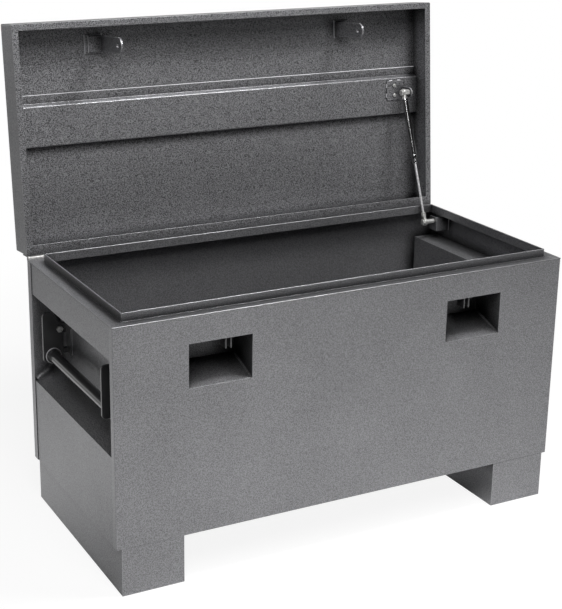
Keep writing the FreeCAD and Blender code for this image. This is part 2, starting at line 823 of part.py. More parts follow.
def lid_bracket_stud():
    """The stud on the lid bracket, level with the strut's head, and its nut."""
    stud = new_body("strut_lid_stud", stand_in_lid)
    place = ("head_y", "head_z")
    pad(stud, "YZ_Plane", "eye_right + face_gap", "lug_left",
        hexagon(*place, "strut_bolt_head"))
    pad(stud, "YZ_Plane", "lug_left", "lug_right", circle(*place, "strut_bolt_diameter"))
    pad(stud, "YZ_Plane", "lug_right", "lug_right + strut_bolt_head_height",
        hexagon(*place, "strut_bolt_head"))


def wall_bracket():
    """The channel on the right wall that carries the strut's foot."""
    bracket = new_body("strut_wall_bracket")
    pad(bracket, "XY_Plane", "wall_bracket_low", "wall_bracket_top", rectangle(
        "wall_lug_left", "side_inside", "wall_bracket_front", "wall_bracket_rear"))
    pocket(bracket, "XY_Plane", "wall_bracket_low", "wall_bracket_top", rectangle(
        "wall_lug_right", "side_inside - bracket_plate",
        "wall_bracket_front + bracket_plate", "wall_bracket_rear"))
    pocket(bracket, "YZ_Plane", "wall_lug_left", "wall_lug_right", circle(
        "foot_y", "foot_z", "strut_bolt_diameter"))
    rivets = []
    for side in ("-wall_rivet_spacing / 2", "wall_rivet_spacing / 2"):
        rivet_z = f"(wall_bracket_low + wall_bracket_top) / 2 + {side}"
        pocket(bracket, "YZ_Plane", "side_inside - bracket_plate", "side_inside", circle(
            "foot_y", rivet_z, "rivet_diameter"))
        rivet = new_body("wall_bracket_rivet")
        pad(rivet, "YZ_Plane", "side_inside - bracket_plate", "side_inside", circle(
            "foot_y", rivet_z, "rivet_diameter"))
        pad(rivet, "YZ_Plane", "side_inside - bracket_plate - rivet_head_height",
            "side_inside - bracket_plate", circle("foot_y", rivet_z, "rivet_head"))
        rivets.append(rivet)
    group("wall_bracket_rivets", rivets)


def wall_stud():
    """The stud that the strut's foot turns on, with its head, spacer and nut."""
    stud = new_body("strut_wall_stud")
    place = ("foot_y", "foot_z")
    pad(stud, "YZ_Plane", "eye_left - face_gap", "wall_lug_right",
        circle(*place, "strut_bolt_diameter"))
    pad(stud, "YZ_Plane", "eye_left - face_gap - strut_bolt_head_height",
        "eye_left - face_gap", hexagon(*place, "strut_bolt_head"))
    pad(stud, "YZ_Plane", "eye_right + face_gap", "wall_lug_left",
        circle(*place, "spacer_diameter"))
    pad(stud, "YZ_Plane", "wall_lug_right", "wall_lug_right + strut_bolt_head_height",
        hexagon(*place, "strut_bolt_head"))


def gas_strut():
    """The strut on the right, with what carries it."""
    strut_tube()
    strut_rod()
    strut_piston()
    strut_eye("strut_head_eye", "strut_length", "tube_end")
    strut_eye("strut_foot_eye", "0", "foot_fitting_length")
    strut_head_bolt()
    lid_bracket()
    lid_bracket_stud()
    wall_bracket()
    wall_stud()


# Drop handles


def handle_arm():
    """One arm: a grip end, a pivot, and a horn that stops against the pocket's back."""
    arm = new_body("left_handle_front_arm")
    levels = ("arm_outside", "arm_inside")
    pad(arm, "XZ_Plane", *levels, polygon(
        ("arm_outer", "arm_low"),
        ("arm_outer", "horn_top"),
        ("horn_end", "horn_top"),
        ("arm_inner", "pivot_z"),
        ("arm_inner", "arm_low")))
    round_edges(arm, "arm_corner",
                ("arm_outer", None, "arm_low"), ("arm_inner", None, "arm_low"),
                ("arm_outer", None, "horn_top"), ("horn_end", None, "horn_top"))
    pad(arm, "XZ_Plane", *levels, circle("pivot_x", "pivot_z", "2 * pivot_edge"))
    pocket(arm, "XZ_Plane", *levels, circle(
        "pivot_x", "pivot_z", "pivot_diameter + 2 * pivot_play"))
    return arm


def handle_grip():
    """The tube between the two arms, with a collar against each."""
    grip = new_body("left_handle_grip")
    levels = ("arm_inside", "depth - arm_inside")
    pad(grip, "XZ_Plane", *levels, circle("grip_x", "grip_z", "grip_diameter"))
    for start, end in (("arm_inside", "arm_inside + grip_collar_length"),
                       ("depth - arm_inside - grip_collar_length", "depth - arm_inside")):
        pad(grip, "XZ_Plane", start, end, circle("grip_x", "grip_z", "grip_collar"))
    pocket(grip, "XZ_Plane", *levels, circle(
        "grip_x", "grip_z", "grip_diameter - 2 * grip_wall"))
    return grip


def handle_ear():
    """The ear that carries a pivot, with its foot on the pocket and a stop for the arm."""
    ear = new_body("left_handle_front_ear")
    wall = "-pocket_back - sheet"
    foot = f"{wall} - ear_thickness"
    low = "pivot_z + ear_radius - ear_foot_height"
    pad(ear, "YZ_Plane", foot, wall, rectangle(
        "ear_outside", "ear_outside + ear_foot_width", low, "pivot_z + ear_radius"))
    pad(ear, "XZ_Plane", "ear_outside", "ear_inside", rectangle(
        "pivot_x", foot, "pivot_z - ear_radius", "pivot_z + ear_radius"))
    pad(ear, "XZ_Plane", "ear_outside", "ear_inside", circle(
        "pivot_x", "pivot_z", "2 * ear_radius"))
    pad(ear, "XY_Plane", low, f"{low} + stop_height", rectangle(
        "arm_inner + face_gap", foot, "ear_outside", "arm_inside"))
    pocket(ear, "XZ_Plane", "ear_outside", "ear_inside", circle(
        "pivot_x", "pivot_z", "pivot_diameter"))
    return ear


def handle_pivot():
    """The bolt through the arm and the ear."""
    bolt = new_body("left_handle_front_pivot")
    place = ("pivot_x", "pivot_z")
    pad(bolt, "XZ_Plane", "ear_outside", "arm_inside + face_gap",
        circle(*place, "pivot_diameter"))
    pad(bolt, "XZ_Plane", "arm_inside + face_gap", "arm_inside + face_gap + pivot_head_height",
        hexagon(*place, "pivot_head"))
    pad(bolt, "XZ_Plane", "ear_outside - pivot_head_height", "ear_outside",
        hexagon(*place, "pivot_head"))
    return bolt


def drop_handles():
    """The two handles: the left one is drawn, the right one is its mirror image."""
    front_to_rear = (0, 1, 0)
    arm = handle_arm()
    rear_arm = mirror(arm, "left_handle_rear_arm", front_to_rear)
    grip = handle_grip()
    ear = handle_ear()
    ears = group("left_handle_ears", [ear, mirror(ear, "rear_ear", front_to_rear)])
    bolt = handle_pivot()
    bolts = group("left_handle_pivots", [bolt, mirror(bolt, "rear_pivot", front_to_rear)])
    mirror(arm, "right_handle_front_arm")
    mirror(rear_arm, "right_handle_rear_arm")
    mirror(grip, "right_handle_grip")
    mirror(ears, "right_handle_ears")
    mirror(bolts, "right_handle_pivots")


# Checking and writing


def check():
    """Stop on anything that failed to build."""
    document.recompute()
    for item in document.Objects:
        if "Invalid" in item.State or "Error" in item.State:
            raise ValueError(f"{item.Label} failed: {item.State}")
    for node in nodes:
        if node.Shape.isNull() or not node.Shape.isValid() or not node.Shape.Solids:
            raise ValueError(f"{node.Label} has no valid shape")


def write():
    """Write each node to its own file."""
    os.makedirs("parts", exist_ok=True)
    for node in nodes:
        node.Shape.exportStep(f"parts/{node.Label}.step")


fill_sheet()
front_panel()
rear_panel()
side_panels()
floor_panel()
rim()
skids()
handle_pockets()
lock_recesses()
lock_staples()
lid_shell()
lid_stiffener()
hasps()
piano_hinge()
gas_strut()
drop_handles()
check()
write()
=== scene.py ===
"""Dresses a steel jobsite storage box: paint, bends, welds and hardware around the fixed frame."""
import json
import math

import bmesh
import bpy
from mathutils import Matrix, Vector


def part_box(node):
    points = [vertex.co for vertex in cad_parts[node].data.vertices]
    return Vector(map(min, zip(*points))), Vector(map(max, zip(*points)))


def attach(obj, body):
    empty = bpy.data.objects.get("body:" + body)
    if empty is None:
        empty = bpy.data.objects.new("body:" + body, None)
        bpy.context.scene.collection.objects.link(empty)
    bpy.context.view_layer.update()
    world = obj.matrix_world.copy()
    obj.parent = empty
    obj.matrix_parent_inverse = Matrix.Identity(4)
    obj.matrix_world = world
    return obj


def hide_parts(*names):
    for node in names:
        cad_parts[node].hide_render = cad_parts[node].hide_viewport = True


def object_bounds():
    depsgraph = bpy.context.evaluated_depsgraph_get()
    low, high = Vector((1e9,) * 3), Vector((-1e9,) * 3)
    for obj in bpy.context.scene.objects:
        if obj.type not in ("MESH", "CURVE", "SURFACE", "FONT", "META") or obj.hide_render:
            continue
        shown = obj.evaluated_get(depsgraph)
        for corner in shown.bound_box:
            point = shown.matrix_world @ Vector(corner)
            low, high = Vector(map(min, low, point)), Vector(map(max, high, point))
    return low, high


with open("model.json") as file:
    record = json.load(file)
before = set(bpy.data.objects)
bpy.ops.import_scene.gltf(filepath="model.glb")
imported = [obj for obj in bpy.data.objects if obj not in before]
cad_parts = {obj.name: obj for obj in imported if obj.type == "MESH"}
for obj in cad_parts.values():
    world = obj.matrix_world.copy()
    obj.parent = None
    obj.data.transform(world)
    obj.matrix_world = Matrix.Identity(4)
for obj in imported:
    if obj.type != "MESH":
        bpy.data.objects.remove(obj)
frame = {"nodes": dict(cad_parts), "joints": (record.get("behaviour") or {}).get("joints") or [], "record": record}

bl_info = {
    "name": "Jobsite Storage Box",
    "version": (1, 0, 0),
    "blender": (4, 5, 0),
    "location": "View3D > Sidebar > Storage Box",
    "description": "Builds the painted steel of a storage box round its frame",
    "category": "Add Mesh",
}

FRAME_LOW, FRAME_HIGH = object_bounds()
MM = 0.001
WHITE = (1, 1, 1, 1)
# Points this close together are one point
SAME_PLACE = 0.002 * MM
# Turns between two faces: up to the first they are one flat, from the second on their edge
# is eased, and from the third on it stays sharp in smooth shading
FLAT_TURN = math.radians(1)
EDGE_TURN = math.radians(35)
SHARP_TURN = math.radians(50)
# Faces whose directions hold this share of a piece's area are its flats. A face is on a
# bend where the cosine to every flat is below the second, and then gets the third as its mark
FLAT_SHARE = 0.02
BEND_COSINE = 0.985
BEND_MARK = 0.3
# A face this deep within the lid's box is inside the lid
SKIN_DEPTH = 1 * MM

BODY_OF = {node: body for body, nodes in frame["record"]["behaviour"]["bodies"].items()
           for node in nodes}
SLOT_OF = {part["node"]: part["material_slot"] for part in frame["record"]["subparts"]}
JOINTS = {joint["name"]: joint for joint in frame["joints"]}

# The lid stands open in the frame; LID_OPEN takes a place on the closed lid there
HINGE = Vector(JOINTS["lid_hinge"]["pos_m"])
LID_ANGLE = math.radians(JOINTS["lid_hinge"]["range_deg"][1])
LID_OPEN = (Matrix.Translation(HINGE) @ Matrix.Rotation(-LID_ANGLE, 4, "X")
            @ Matrix.Translation(-HINGE))
# The strut's foot pivot, and the way that the strut leans from there
STRUT_FOOT = Vector(JOINTS["strut_pivot"]["pos_m"])
STRUT_WAY = Vector(JOINTS["strut_slide"]["axis"])
STRUT_LEAN = (Matrix.Translation(STRUT_FOOT)
              @ STRUT_WAY.to_track_quat("Z", "X").to_matrix().to_4x4())


# Node trees


class Wire:
    """A socket that Python's operators work on."""

    def __init__(self, tree, socket):
        self.tree = tree
        self.socket = socket

    def maths(self, operation, *values):
        """The wire of a Math node that works on wires and numbers."""
        return self.tree.add("ShaderNodeMath", {"operation": operation}, dict(enumerate(values)))

    def __add__(self, other):
        return self.maths("ADD", self, other)

    def __radd__(self, other):
        return self.maths("ADD", other, self)

    def __sub__(self, other):
        return self.maths("SUBTRACT", self, other)

    def __rsub__(self, other):
        return self.maths("SUBTRACT", other, self)

    def __mul__(self, other):
        return self.maths("MULTIPLY", self, other)

    def __rmul__(self, other):
        return self.maths("MULTIPLY", other, self)

    def __truediv__(self, other):
        return self.maths("DIVIDE", self, other)

    def __pow__(self, other):
        return self.maths("POWER", self, other)

    def at_most(self, other):
        """This value, held below another."""
        return self.maths("MINIMUM", self, other)

    def at_least(self, other):
        """This value, held above another."""
        return self.maths("MAXIMUM", self, other)


class Tree:
    """A node tree under construction."""

    def add(self, kind, settings=None, inputs=None, output=0):
        """Make a node, set its settings, then its inputs, and return one of its outputs."""
        node = self.nodes.new(kind)
        for name, value in (settings or {}).items():
            if name == "stops":
                self.set_stops(node.color_ramp, value)
            else:
                setattr(node, name, value)
        for name, value in (inputs or {}).items():
            self.feed(node.inputs[name], value)
        return Wire(self, node.outputs[output])

    def set_stops(self, ramp, stops):
        """Give a colour ramp its stops, each a place and a colour."""
        while len(ramp.elements) < len(stops):
            ramp.elements.new(0.5)
        for element, (place, colour) in zip(ramp.elements, stops):
            element.position = place
            element.color = colour

    def band(self, value, first, last):
        """0 where a value is at first and 1 where it is at last, eased between them."""
        return self.add("ShaderNodeMapRange", {"interpolation_type": "SMOOTHSTEP"}, {
            0: value, "From Min": first, "From Max": last})

    def feed(self, socket, value):
        """Link a wire to a socket, or set the socket's own value."""
        if isinstance(value, Wire):
            self.links.new(value.socket, socket)
        else:
            socket.default_value = value


class Finish(Tree):
    """A material under construction, with patterns placed by Object coordinates in metres."""

    def __init__(self, name):
        self.material = bpy.data.materials.new(name)
        self.material.use_nodes = True
        self.nodes = self.material.node_tree.nodes
        self.links = self.material.node_tree.links
        self.nodes.clear()
        self.output = self.nodes.new("ShaderNodeOutputMaterial")
        self.place = self.add("ShaderNodeTexCoord", output="Object")

    def noise(self, size, detail=2.0, place=None):
        """Soft noise whose features have about the given size."""
        return self.add("ShaderNodeTexNoise", inputs={
            "Vector": place or self.place, "Scale": 1 / size, "Detail": detail})

    def cells(self, size, feature="F1", place=None):
        """Distance from the middle of cells of about the given size."""
        return self.add("ShaderNodeTexVoronoi", {"feature": feature}, {
            "Vector": place or self.place, "Scale": 1 / size})

    def ramp(self, value, *stops):
        """Grey stops through a colour ramp."""
        grey = [(place, (level, level, level, 1)) for place, level in stops]
        return self.add("ShaderNodeValToRGB", {"stops": grey}, {0: value})

    def blend(self, factor, first, second):
        """A colour between two colours."""
        return self.add("ShaderNodeMix", {"data_type": "RGBA"},
                        {0: factor, 6: first, 7: second}, output=2)

    def mark(self, name):
        """A piece's own mark: eased is 1 on edges, inside is 1 within the lid."""
        return self.add("ShaderNodeAttribute", {"attribute_name": name}, output="Fac")

    def bump(self, height, depth, strength=1.0):
        """A normal roughened by a height of the given depth."""
        return self.add("ShaderNodeBump", inputs={
            "Height": height, "Distance": depth, "Strength": strength})

    def finish(self, shader):
        """Send a shader to the material's surface."""
        self.links.new(shader.socket, self.output.inputs["Surface"])
        return self.material

    def steel(self, **inputs):
        """Finish with the standard surface shader; underscores stand for spaces."""
        named = {name.replace("_", " "): value for name, value in inputs.items()}
        return self.finish(self.add("ShaderNodeBsdfPrincipled", inputs=named))


class Pattern(Tree):
    """A Geometry Nodes tree under construction, with named sizes, that ends in one material."""

    def __init__(self, name, sizes):
        self.group = bpy.data.node_groups.new(name, "GeometryNodeTree")
        self.nodes, self.links = self.group.nodes, self.group.links
        sockets = self.group.interface
        sockets.new_socket("Geometry", in_out="INPUT", socket_type="NodeSocketGeometry")
        for label, size in sizes.items():
            socket = sockets.new_socket(label, in_out="INPUT", socket_type="NodeSocketFloat")
            socket.subtype = "DISTANCE"
            socket.default_value = size
        sockets.new_socket("Geometry", in_out="OUTPUT", socket_type="NodeSocketGeometry")
        self.source = self.nodes.new("NodeGroupInput")

    def given(self, label):
        """The wire of a named input."""
        return Wire(self, self.source.outputs[label])

    def vector(self, x, y, z):
        """A vector from three values."""
        return self.add("ShaderNodeCombineXYZ", inputs={"X": x, "Y": y, "Z": z})

    def end(self, instances, material):
        """Make the instances real and give them their material."""
        real = self.add("GeometryNodeRealizeInstances", inputs={0: instances})
        covered = self.add("GeometryNodeSetMaterial", inputs={0: real, "Material": material})
        sink = self.nodes.new("NodeGroupOutput")
        self.links.new(covered.socket, sink.inputs[0])
        return self.group


# Sizes and colours


class STORAGE_PG_steel(bpy.types.PropertyGroup):
    """The sheets' thickness, and how sheets and plates are finished off at their edges."""

    sheet: bpy.props.FloatProperty(
        name="Sheet", description="Thickness of the folded sheets", default=1.5 * MM,
        unit="LENGTH")
    sheet_edge: bpy.props.FloatProperty(
        name="Sheet edge", description="Easing of the edges of thin sheets",
        default=0.45 * MM, unit="LENGTH")
    plate_edge: bpy.props.FloatProperty(
        name="Plate edge", description="Easing of the edges of thick plates",
        default=0.9 * MM, unit="LENGTH")
    hardware_edge: bpy.props.FloatProperty(
        name="Hardware edge", description="Easing of the edges of bolts, eyes and knuckles",
        default=0.5 * MM, unit="LENGTH")
    rim_bend: bpy.props.FloatProperty(
        name="Rim bend", description="Outside radius of the bend between a wall and the rim",
        default=1.7 * MM, unit="LENGTH")
    rim_edge: bpy.props.FloatProperty(
        name="Rim edge", description="Easing of the edges of the rim's ends",
        default=1.2 * MM, unit="LENGTH")
    lip_edge: bpy.props.FloatProperty(
        name="Lip edge", description="Easing of the top of the rim's lip",
        default=1.1 * MM, unit="LENGTH")
    bend_steps: bpy.props.IntProperty(
        name="Bend steps", description="Faces across an eased edge", default=3)
    fold_steps: bpy.props.IntProperty(
        name="Fold steps", description="Faces across a fold or a corner strip", default=6)


class STORAGE_PG_paint(bpy.types.PropertyGroup):
    """Colours and grain of the finishes, with their painted shade and painted highlights."""

    body: bpy.props.FloatVectorProperty(
        name="Body", description="Hammered grey paint, in its hollows", subtype="COLOR",
        default=(0.160, 0.160, 0.165))
    flake: bpy.props.FloatVectorProperty(
        name="Flake", description="Hammered grey paint, on its crests", subtype="COLOR",
        default=(0.395, 0.395, 0.410))
    handles: bpy.props.FloatVectorProperty(
        name="Handles", description="Smooth dark paint of the handles", subtype="COLOR",
        default=(0.048, 0.048, 0.050))
    strut: bpy.props.FloatVectorProperty(
        name="Strut", description="Dark steel of the strut's tube", subtype="COLOR",
        default=(0.420, 0.420, 0.425))
    zinc: bpy.props.FloatVectorProperty(
        name="Zinc", description="Plating of the bolts and eyes", subtype="COLOR",
        default=(0.74, 0.74, 0.72))
    bright: bpy.props.FloatVectorProperty(
        name="Bright steel", description="Steel of the strut's rod", subtype="COLOR",
        default=(0.90, 0.90, 0.91))
    bare: bpy.props.FloatVectorProperty(
        name="Bare steel", description="Steel where the hinge has rubbed", subtype="COLOR",
        default=(0.58, 0.57, 0.55))
    # Painted shade: the lock recesses' paint is made darker by this
    recess_shade: bpy.props.FloatProperty(
        name="Recess shade", description="Brightness of the paint in the lock recesses",
        default=0.92)
    # Painted highlight: the welds are painted this much brighter than the paint's crests
    weld_highlight: bpy.props.FloatProperty(
        name="Weld shade", description="Brightness of the paint over welds", default=1.8)
    contrast: bpy.props.FloatProperty(
        name="Contrast", description="Strength of the paint's grain", default=0.65)
    # Painted glints: the stronger grain that the inside of the lid is painted with
    inner_grain_and_glint: bpy.props.FloatProperty(
        name="Inner contrast", description="Strength of the paint's grain inside the lid",
        default=1.2)
    # Painted shade: how far the darkening in corners reaches
    corner_shade_reach: bpy.props.FloatProperty(
        name="Grime reach", description="How far grime spreads from a corner",
        default=30 * MM, unit="LENGTH")
    # Painted shade: how far the darkening in the lock recesses reaches
    recess_shade_reach: bpy.props.FloatProperty(
        name="Recess reach", description="How far grime spreads in the lock recesses",
        default=90 * MM, unit="LENGTH")
    grain: bpy.props.FloatProperty(
        name="Grain", description="Size of the paint's hammered cells", default=3.2 * MM,
        unit="LENGTH")
    grain_depth: bpy.props.FloatProperty(
        name="Grain depth", description="Height of the paint's hammered cells",
        default=0.75 * MM, unit="LENGTH")


class STORAGE_PG_joining(bpy.types.PropertyGroup):
    """Welds, rivets and threads."""

    bead_width: bpy.props.FloatProperty(
        name="Bead width", description="Width of a weld bead", default=3.2 * MM, unit="LENGTH")
    bead_pitch: bpy.props.FloatProperty(
        name="Bead pitch", description="Distance between a weld's ripples",
        default=1.7 * MM, unit="LENGTH")
    tack_length: bpy.props.FloatProperty(
        name="Tack length", description="Length of a short weld", default=14 * MM,
        unit="LENGTH")
    rivet: bpy.props.FloatProperty(
        name="Rivet", description="Diameter of a hinge rivet's head", default=7.5 * MM,
        unit="LENGTH")
    rivet_pitch: bpy.props.FloatProperty(
        name="Rivet pitch", description="Distance between hinge rivets", default=101.1 * MM,
        unit="LENGTH")
    thread_pitch: bpy.props.FloatProperty(
        name="Thread pitch", description="Distance between the crests of a thread",
        default=1.25 * MM, unit="LENGTH")
    thread_length: bpy.props.FloatProperty(
        name="Thread length", description="How far a thread stands out of its nut",
        default=3.0 * MM, unit="LENGTH")


# Finishes


def shaded(colour, shade=1.0):
    """A colour made lighter or darker, with its alpha."""
    return (*(min(1.0, level * shade) for level in colour), 1)


def hammered_paint(name, shade, roughness, reach):
    """Grey hammered paint: shallow metallic dimples, a painted highlight on its bends and edges, and painted shade
    in its corners.
    """
    paint = bpy.context.scene.storage_paint
    low, high = ([level * shade for level in colour] for colour in (paint.body, paint.flake))
    contrast = paint.contrast
    finish = Finish(name)
    drift = finish.add("ShaderNodeVectorMath", {"operation": "MULTIPLY_ADD"}, {
        0: finish.add("ShaderNodeTexNoise", inputs={
            "Vector": finish.place, "Scale": 0.7 / paint.grain, "Detail": 0.0},
            output="Color"),
        1: (paint.grain, paint.grain, paint.grain), 2: finish.place})
    cells = finish.cells(paint.grain, place=drift)
    flake = finish.noise(paint.grain * 0.55, 0.0)
    cloud = finish.noise(160 * MM, 2.0)
    crest = finish.ramp(flake * 0.75 + cells * 0.25, (0.36, 0.0), (0.60, 1.0))
    # Inside the lid the same paint is painted darker in its hollows and lighter and stronger in its grain: painted
    # shade and painted glints
    inside = finish.mark("inside")
    span = inside * (paint.inner_grain_and_glint - contrast) + contrast
    tone = (crest * span + cloud * 0.3 + (0.35 - span / 2)).at_least(0.0).at_most(1.0)
    dark = finish.blend(inside, shaded(low), shaded(low, 0.75))
    light = finish.blend(inside, shaded(high), shaded(high, 1.12))
    colour = finish.blend(tone, dark, light)
    # Eased edges and bends are painted lighter: a painted highlight
    colour = finish.blend(finish.mark("eased") * 0.6, colour, shaded(high, 1.3))
    # Corners, creases and recesses are painted darker the more enclosed they are: painted shade, left off where
    # the skids meet the floor
    height = finish.add("ShaderNodeSeparateXYZ", inputs={0: finish.place}, output="Z")
    open_space = finish.add("ShaderNodeAmbientOcclusion", {"samples": 4}, {"Distance": reach},
                            output="AO").at_least(finish.band(height, reach * 2, reach))
    unshaded = finish.ramp(open_space, (0.50, 0.0), (0.94, 1.0))
    colour = finish.blend(unshaded, shaded(low, 0.12), colour)
    return finish.steel(
        Base_Color=colour, Roughness=flake * 0.12 + (roughness - 0.06), Metallic=0.7,
        IOR=1.5, Coat_Weight=0.15, Coat_Roughness=0.12,
        Normal=finish.bump(cells * cells, paint.grain_depth, 0.6))


def smooth_paint(name, colour, roughness, metal):
    """Smooth paint with a faint orange peel, cloudy gloss, and edges painted lighter in rubbed patches: wear and a
    painted highlight.
    """
    finish = Finish(name)
    peel = finish.noise(2.6 * MM, 2.0)
    cloud = finish.noise(45 * MM, 4.0)
    rub = finish.noise(5 * MM, 5.0)
    worn_and_highlight = shaded(level * 2.6 + 0.03 for level in colour)
    base = finish.blend(cloud, shaded(colour, 0.7), shaded(colour))
    edge = finish.mark("eased") * finish.ramp(rub, (0.35, 0.2), (0.6, 1.0))
    return finish.steel(
        Base_Color=finish.blend(edge * 0.7, base, worn_and_highlight),
        Roughness=cloud * 0.14 + roughness - edge * 0.08, Metallic=metal,
        IOR=1.5, Coat_Weight=1.0, Coat_Roughness=0.06,
        Normal=finish.bump(peel, 0.05 * MM, 0.5))


def plated(name, colour, roughness):
    """Zinc plating with small crystals, dull patches and a painted highlight on its edges."""
    finish = Finish(name)
    crystal = finish.cells(1.6 * MM)
    patch = finish.noise(9 * MM, 4.0)
    base = finish.blend(finish.ramp(patch * 0.7 + crystal * 0.3, (0.3, 0.0), (0.62, 1.0)),
                        shaded(colour, 0.55), shaded(colour))
    return finish.steel(
        Base_Color=finish.blend(finish.mark("eased") * 0.8, base, shaded(colour, 1.25)),
        Metallic=0.6, Roughness=patch * 0.3 + roughness,
        Normal=finish.bump(crystal, 0.03 * MM, 0.4))


def drawn_steel(name, colour, roughness, metal):
    """Drawn steel with fine lines in it and a trace of grease."""
    finish = Finish(name)
    lines = finish.noise(0.8 * MM, 1.0)
    smear = finish.noise(22 * MM, 3.0)
    return finish.steel(
        Base_Color=finish.blend(smear, shaded(colour, 0.8), shaded(colour)), Metallic=metal,
        Roughness=lines * 0.06 + smear * 0.10 + roughness,
        Normal=finish.bump(lines, 0.01 * MM, 0.3))


def worn_hinge_paint(name, low, high, steel):
    """Hammered paint that has rubbed down to bright steel on the hinge's knuckles."""
    finish = Finish(name)
    cells = finish.cells(2.4 * MM, "SMOOTH_F1")
    rub = finish.noise(6 * MM, 5.0)
    streak = finish.noise(3 * MM, 3.0)
    # Distance from the hinge axis shows where the knuckles are
    flat = finish.add("ShaderNodeVectorMath", {"operation": "MULTIPLY"}, {
        0: finish.add("ShaderNodeVectorMath", {"operation": "SUBTRACT"},
                      {0: finish.place, 1: tuple(HINGE)}), 1: (0.0, 1.0, 1.0)})
    away = finish.add("ShaderNodeVectorMath", {"operation": "LENGTH"}, {0: flat}, output="Value")
    knuckle = finish.ramp(away * 100, (0.44, 1.0), (0.50, 0.0))
    bare = (knuckle * finish.ramp(rub * 0.8 + streak * 0.2, (0.32, 0.1), (0.55, 1.0))
            ).at_most(1.0)
    paint = finish.blend(cells, shaded(low), shaded(high))
    return finish.steel(
        Base_Color=finish.blend(bare, paint, shaded(steel)),
        Metallic=bare * 0.9, Roughness=0.46 - bare * 0.16 + rub * 0.12,
        Normal=finish.bump(cells, 0.12 * MM, 0.3))


def weld_metal(name, colour):
    """Painted-over weld: lumpy, with a slight gloss on its ripples."""
    finish = Finish(name)
    lump = finish.noise(1.4 * MM, 3.0)
    soot = finish.noise(12 * MM, 3.0)
    return finish.steel(
        Base_Color=finish.blend(soot * 0.7 + lump * 0.3, shaded(colour, 0.6), shaded(colour)),
        Roughness=lump * 0.2 + 0.26, Metallic=0.0, IOR=1.5, Coat_Weight=0.4,
        Coat_Roughness=0.12, Normal=finish.bump(lump, 0.10 * MM, 0.5))


FINISHES = {}


def finish_for(slot):
    """The finish of a material slot, made once."""
    if slot in FINISHES:
        return FINISHES[slot]
    paint = bpy.context.scene.storage_paint
    makers = {
        "casing": lambda: hammered_paint(slot, 1.0, 0.38, paint.corner_shade_reach),
        # The lock recesses get the same paint made darker, with farther-reaching corner darkening: painted shade
        "recess": lambda: hammered_paint(slot, paint.recess_shade, 0.42, paint.recess_shade_reach),
        "lid": lambda: hammered_paint(slot, 1.0, 0.38, paint.corner_shade_reach),
        "handles": lambda: smooth_paint(slot, paint.handles, 0.26, 0.2),
        "hinge": lambda: worn_hinge_paint(slot, paint.body, paint.flake, paint.bare),
        "fasteners": lambda: plated(slot, paint.zinc, 0.16),
        "strut_body": lambda: drawn_steel(slot, paint.strut, 0.10, 1.0),
        "strut_bright": lambda: drawn_steel(slot, paint.bright, 0.18, 0.6),
        # Welds are painted far brighter than the paint round them: a painted highlight
        "weld": lambda: weld_metal(slot, shaded(paint.flake, paint.weld_highlight)[:3]),
    }
    FINISHES[slot] = makers[slot]()
    return FINISHES[slot]


# Making pieces


def link(name, mesh):
    """An object at the origin that carries a mesh."""
    piece = bpy.data.objects.new(name, mesh)
    bpy.context.collection.objects.link(piece)
    return piece


def evaluated(piece):
    """Bake a piece's modifiers into its mesh."""
    mesh = bpy.data.meshes.new_from_object(
        piece.evaluated_get(bpy.context.evaluated_depsgraph_get()))
    piece.modifiers.clear()
    piece.data = mesh
    return piece


def mesh_of(shape, name):
    """Turn a shape under construction into a mesh."""
    mesh = bpy.data.meshes.new(name)
    shape.to_mesh(mesh)
    shape.free()
    return mesh


def merged(mesh, name):
    """A copy of a mesh with its triangles joined and its flats whole."""
    shape = bmesh.new()
    shape.from_mesh(mesh)
    bmesh.ops.remove_doubles(shape, verts=shape.verts, dist=SAME_PLACE)
    bmesh.ops.dissolve_limit(shape, angle_limit=FLAT_TURN, verts=shape.verts,
                             edges=shape.edges)
    return mesh_of(shape, name)


def merged_copy(node):
    """A merged copy of a CAD node's mesh."""
    return merged(frame["nodes"][node].data, node + "_copy")


def mark_eased(mesh, bends):
    """Give a face 1 on eased edges, some on folded bends, and 0 on flats and round bars."""
    areas = {}
    for face in mesh.polygons:
        way = tuple(round(part, 1) for part in face.normal)
        areas[way] = areas.get(way, 0.0) + face.area
    total = sum(areas.values())
    flats = [Vector(way).normalized() for way, area in areas.items()
             if area > FLAT_SHARE * total]
    marks = []
    for face in mesh.polygons:
        bent = bends and all(face.normal.dot(flat) < BEND_COSINE for flat in flats)
        marks.append(1.0 if face.material_index else BEND_MARK if bent else 0.0)
    mesh.attributes.new("eased", "FLOAT", "FACE").data.foreach_set("value", marks)
    mesh.polygons.foreach_set("material_index", [0] * len(mesh.polygons))


def ease(piece, radius, bends=False, weights=False):
    """Round a piece's edges inside its own box, mark them, and shade it smooth."""
    corners = [Vector(corner) for corner in piece.bound_box]
    low = Vector(min(corner[axis] for corner in corners) for axis in range(3))
    high = Vector(max(corner[axis] for corner in corners) for axis in range(3))
    piece.data.materials.clear()
    for _ in range(2):
        piece.data.materials.append(None)
    bevel = piece.modifiers.new("edges", "BEVEL")
    bevel.width = radius
    bevel.segments = bpy.context.scene.storage_steel.bend_steps if weights else 2
    bevel.limit_method = "WEIGHT" if weights else "ANGLE"
    bevel.angle_limit = EDGE_TURN
    bevel.use_clamp_overlap = False
    bevel.material = 1
    bevel.harden_normals = False
    evaluated(piece)
    for vertex in piece.data.vertices:
        vertex.co = [min(max(value, least), most)
                     for value, least, most in zip(vertex.co, low, high)]
    mark_eased(piece.data, bends)
    smooth(piece)


def smooth(piece):
    """Shade a piece smooth, with its flats kept flat."""
    piece.data.polygons.foreach_set("use_smooth", [True] * len(piece.data.polygons))
    piece.data.set_sharp_from_angle(angle=SHARP_TURN)
    normals = piece.modifiers.new("flats", "WEIGHTED_NORMAL")
    normals.keep_sharp = True
    evaluated(piece)


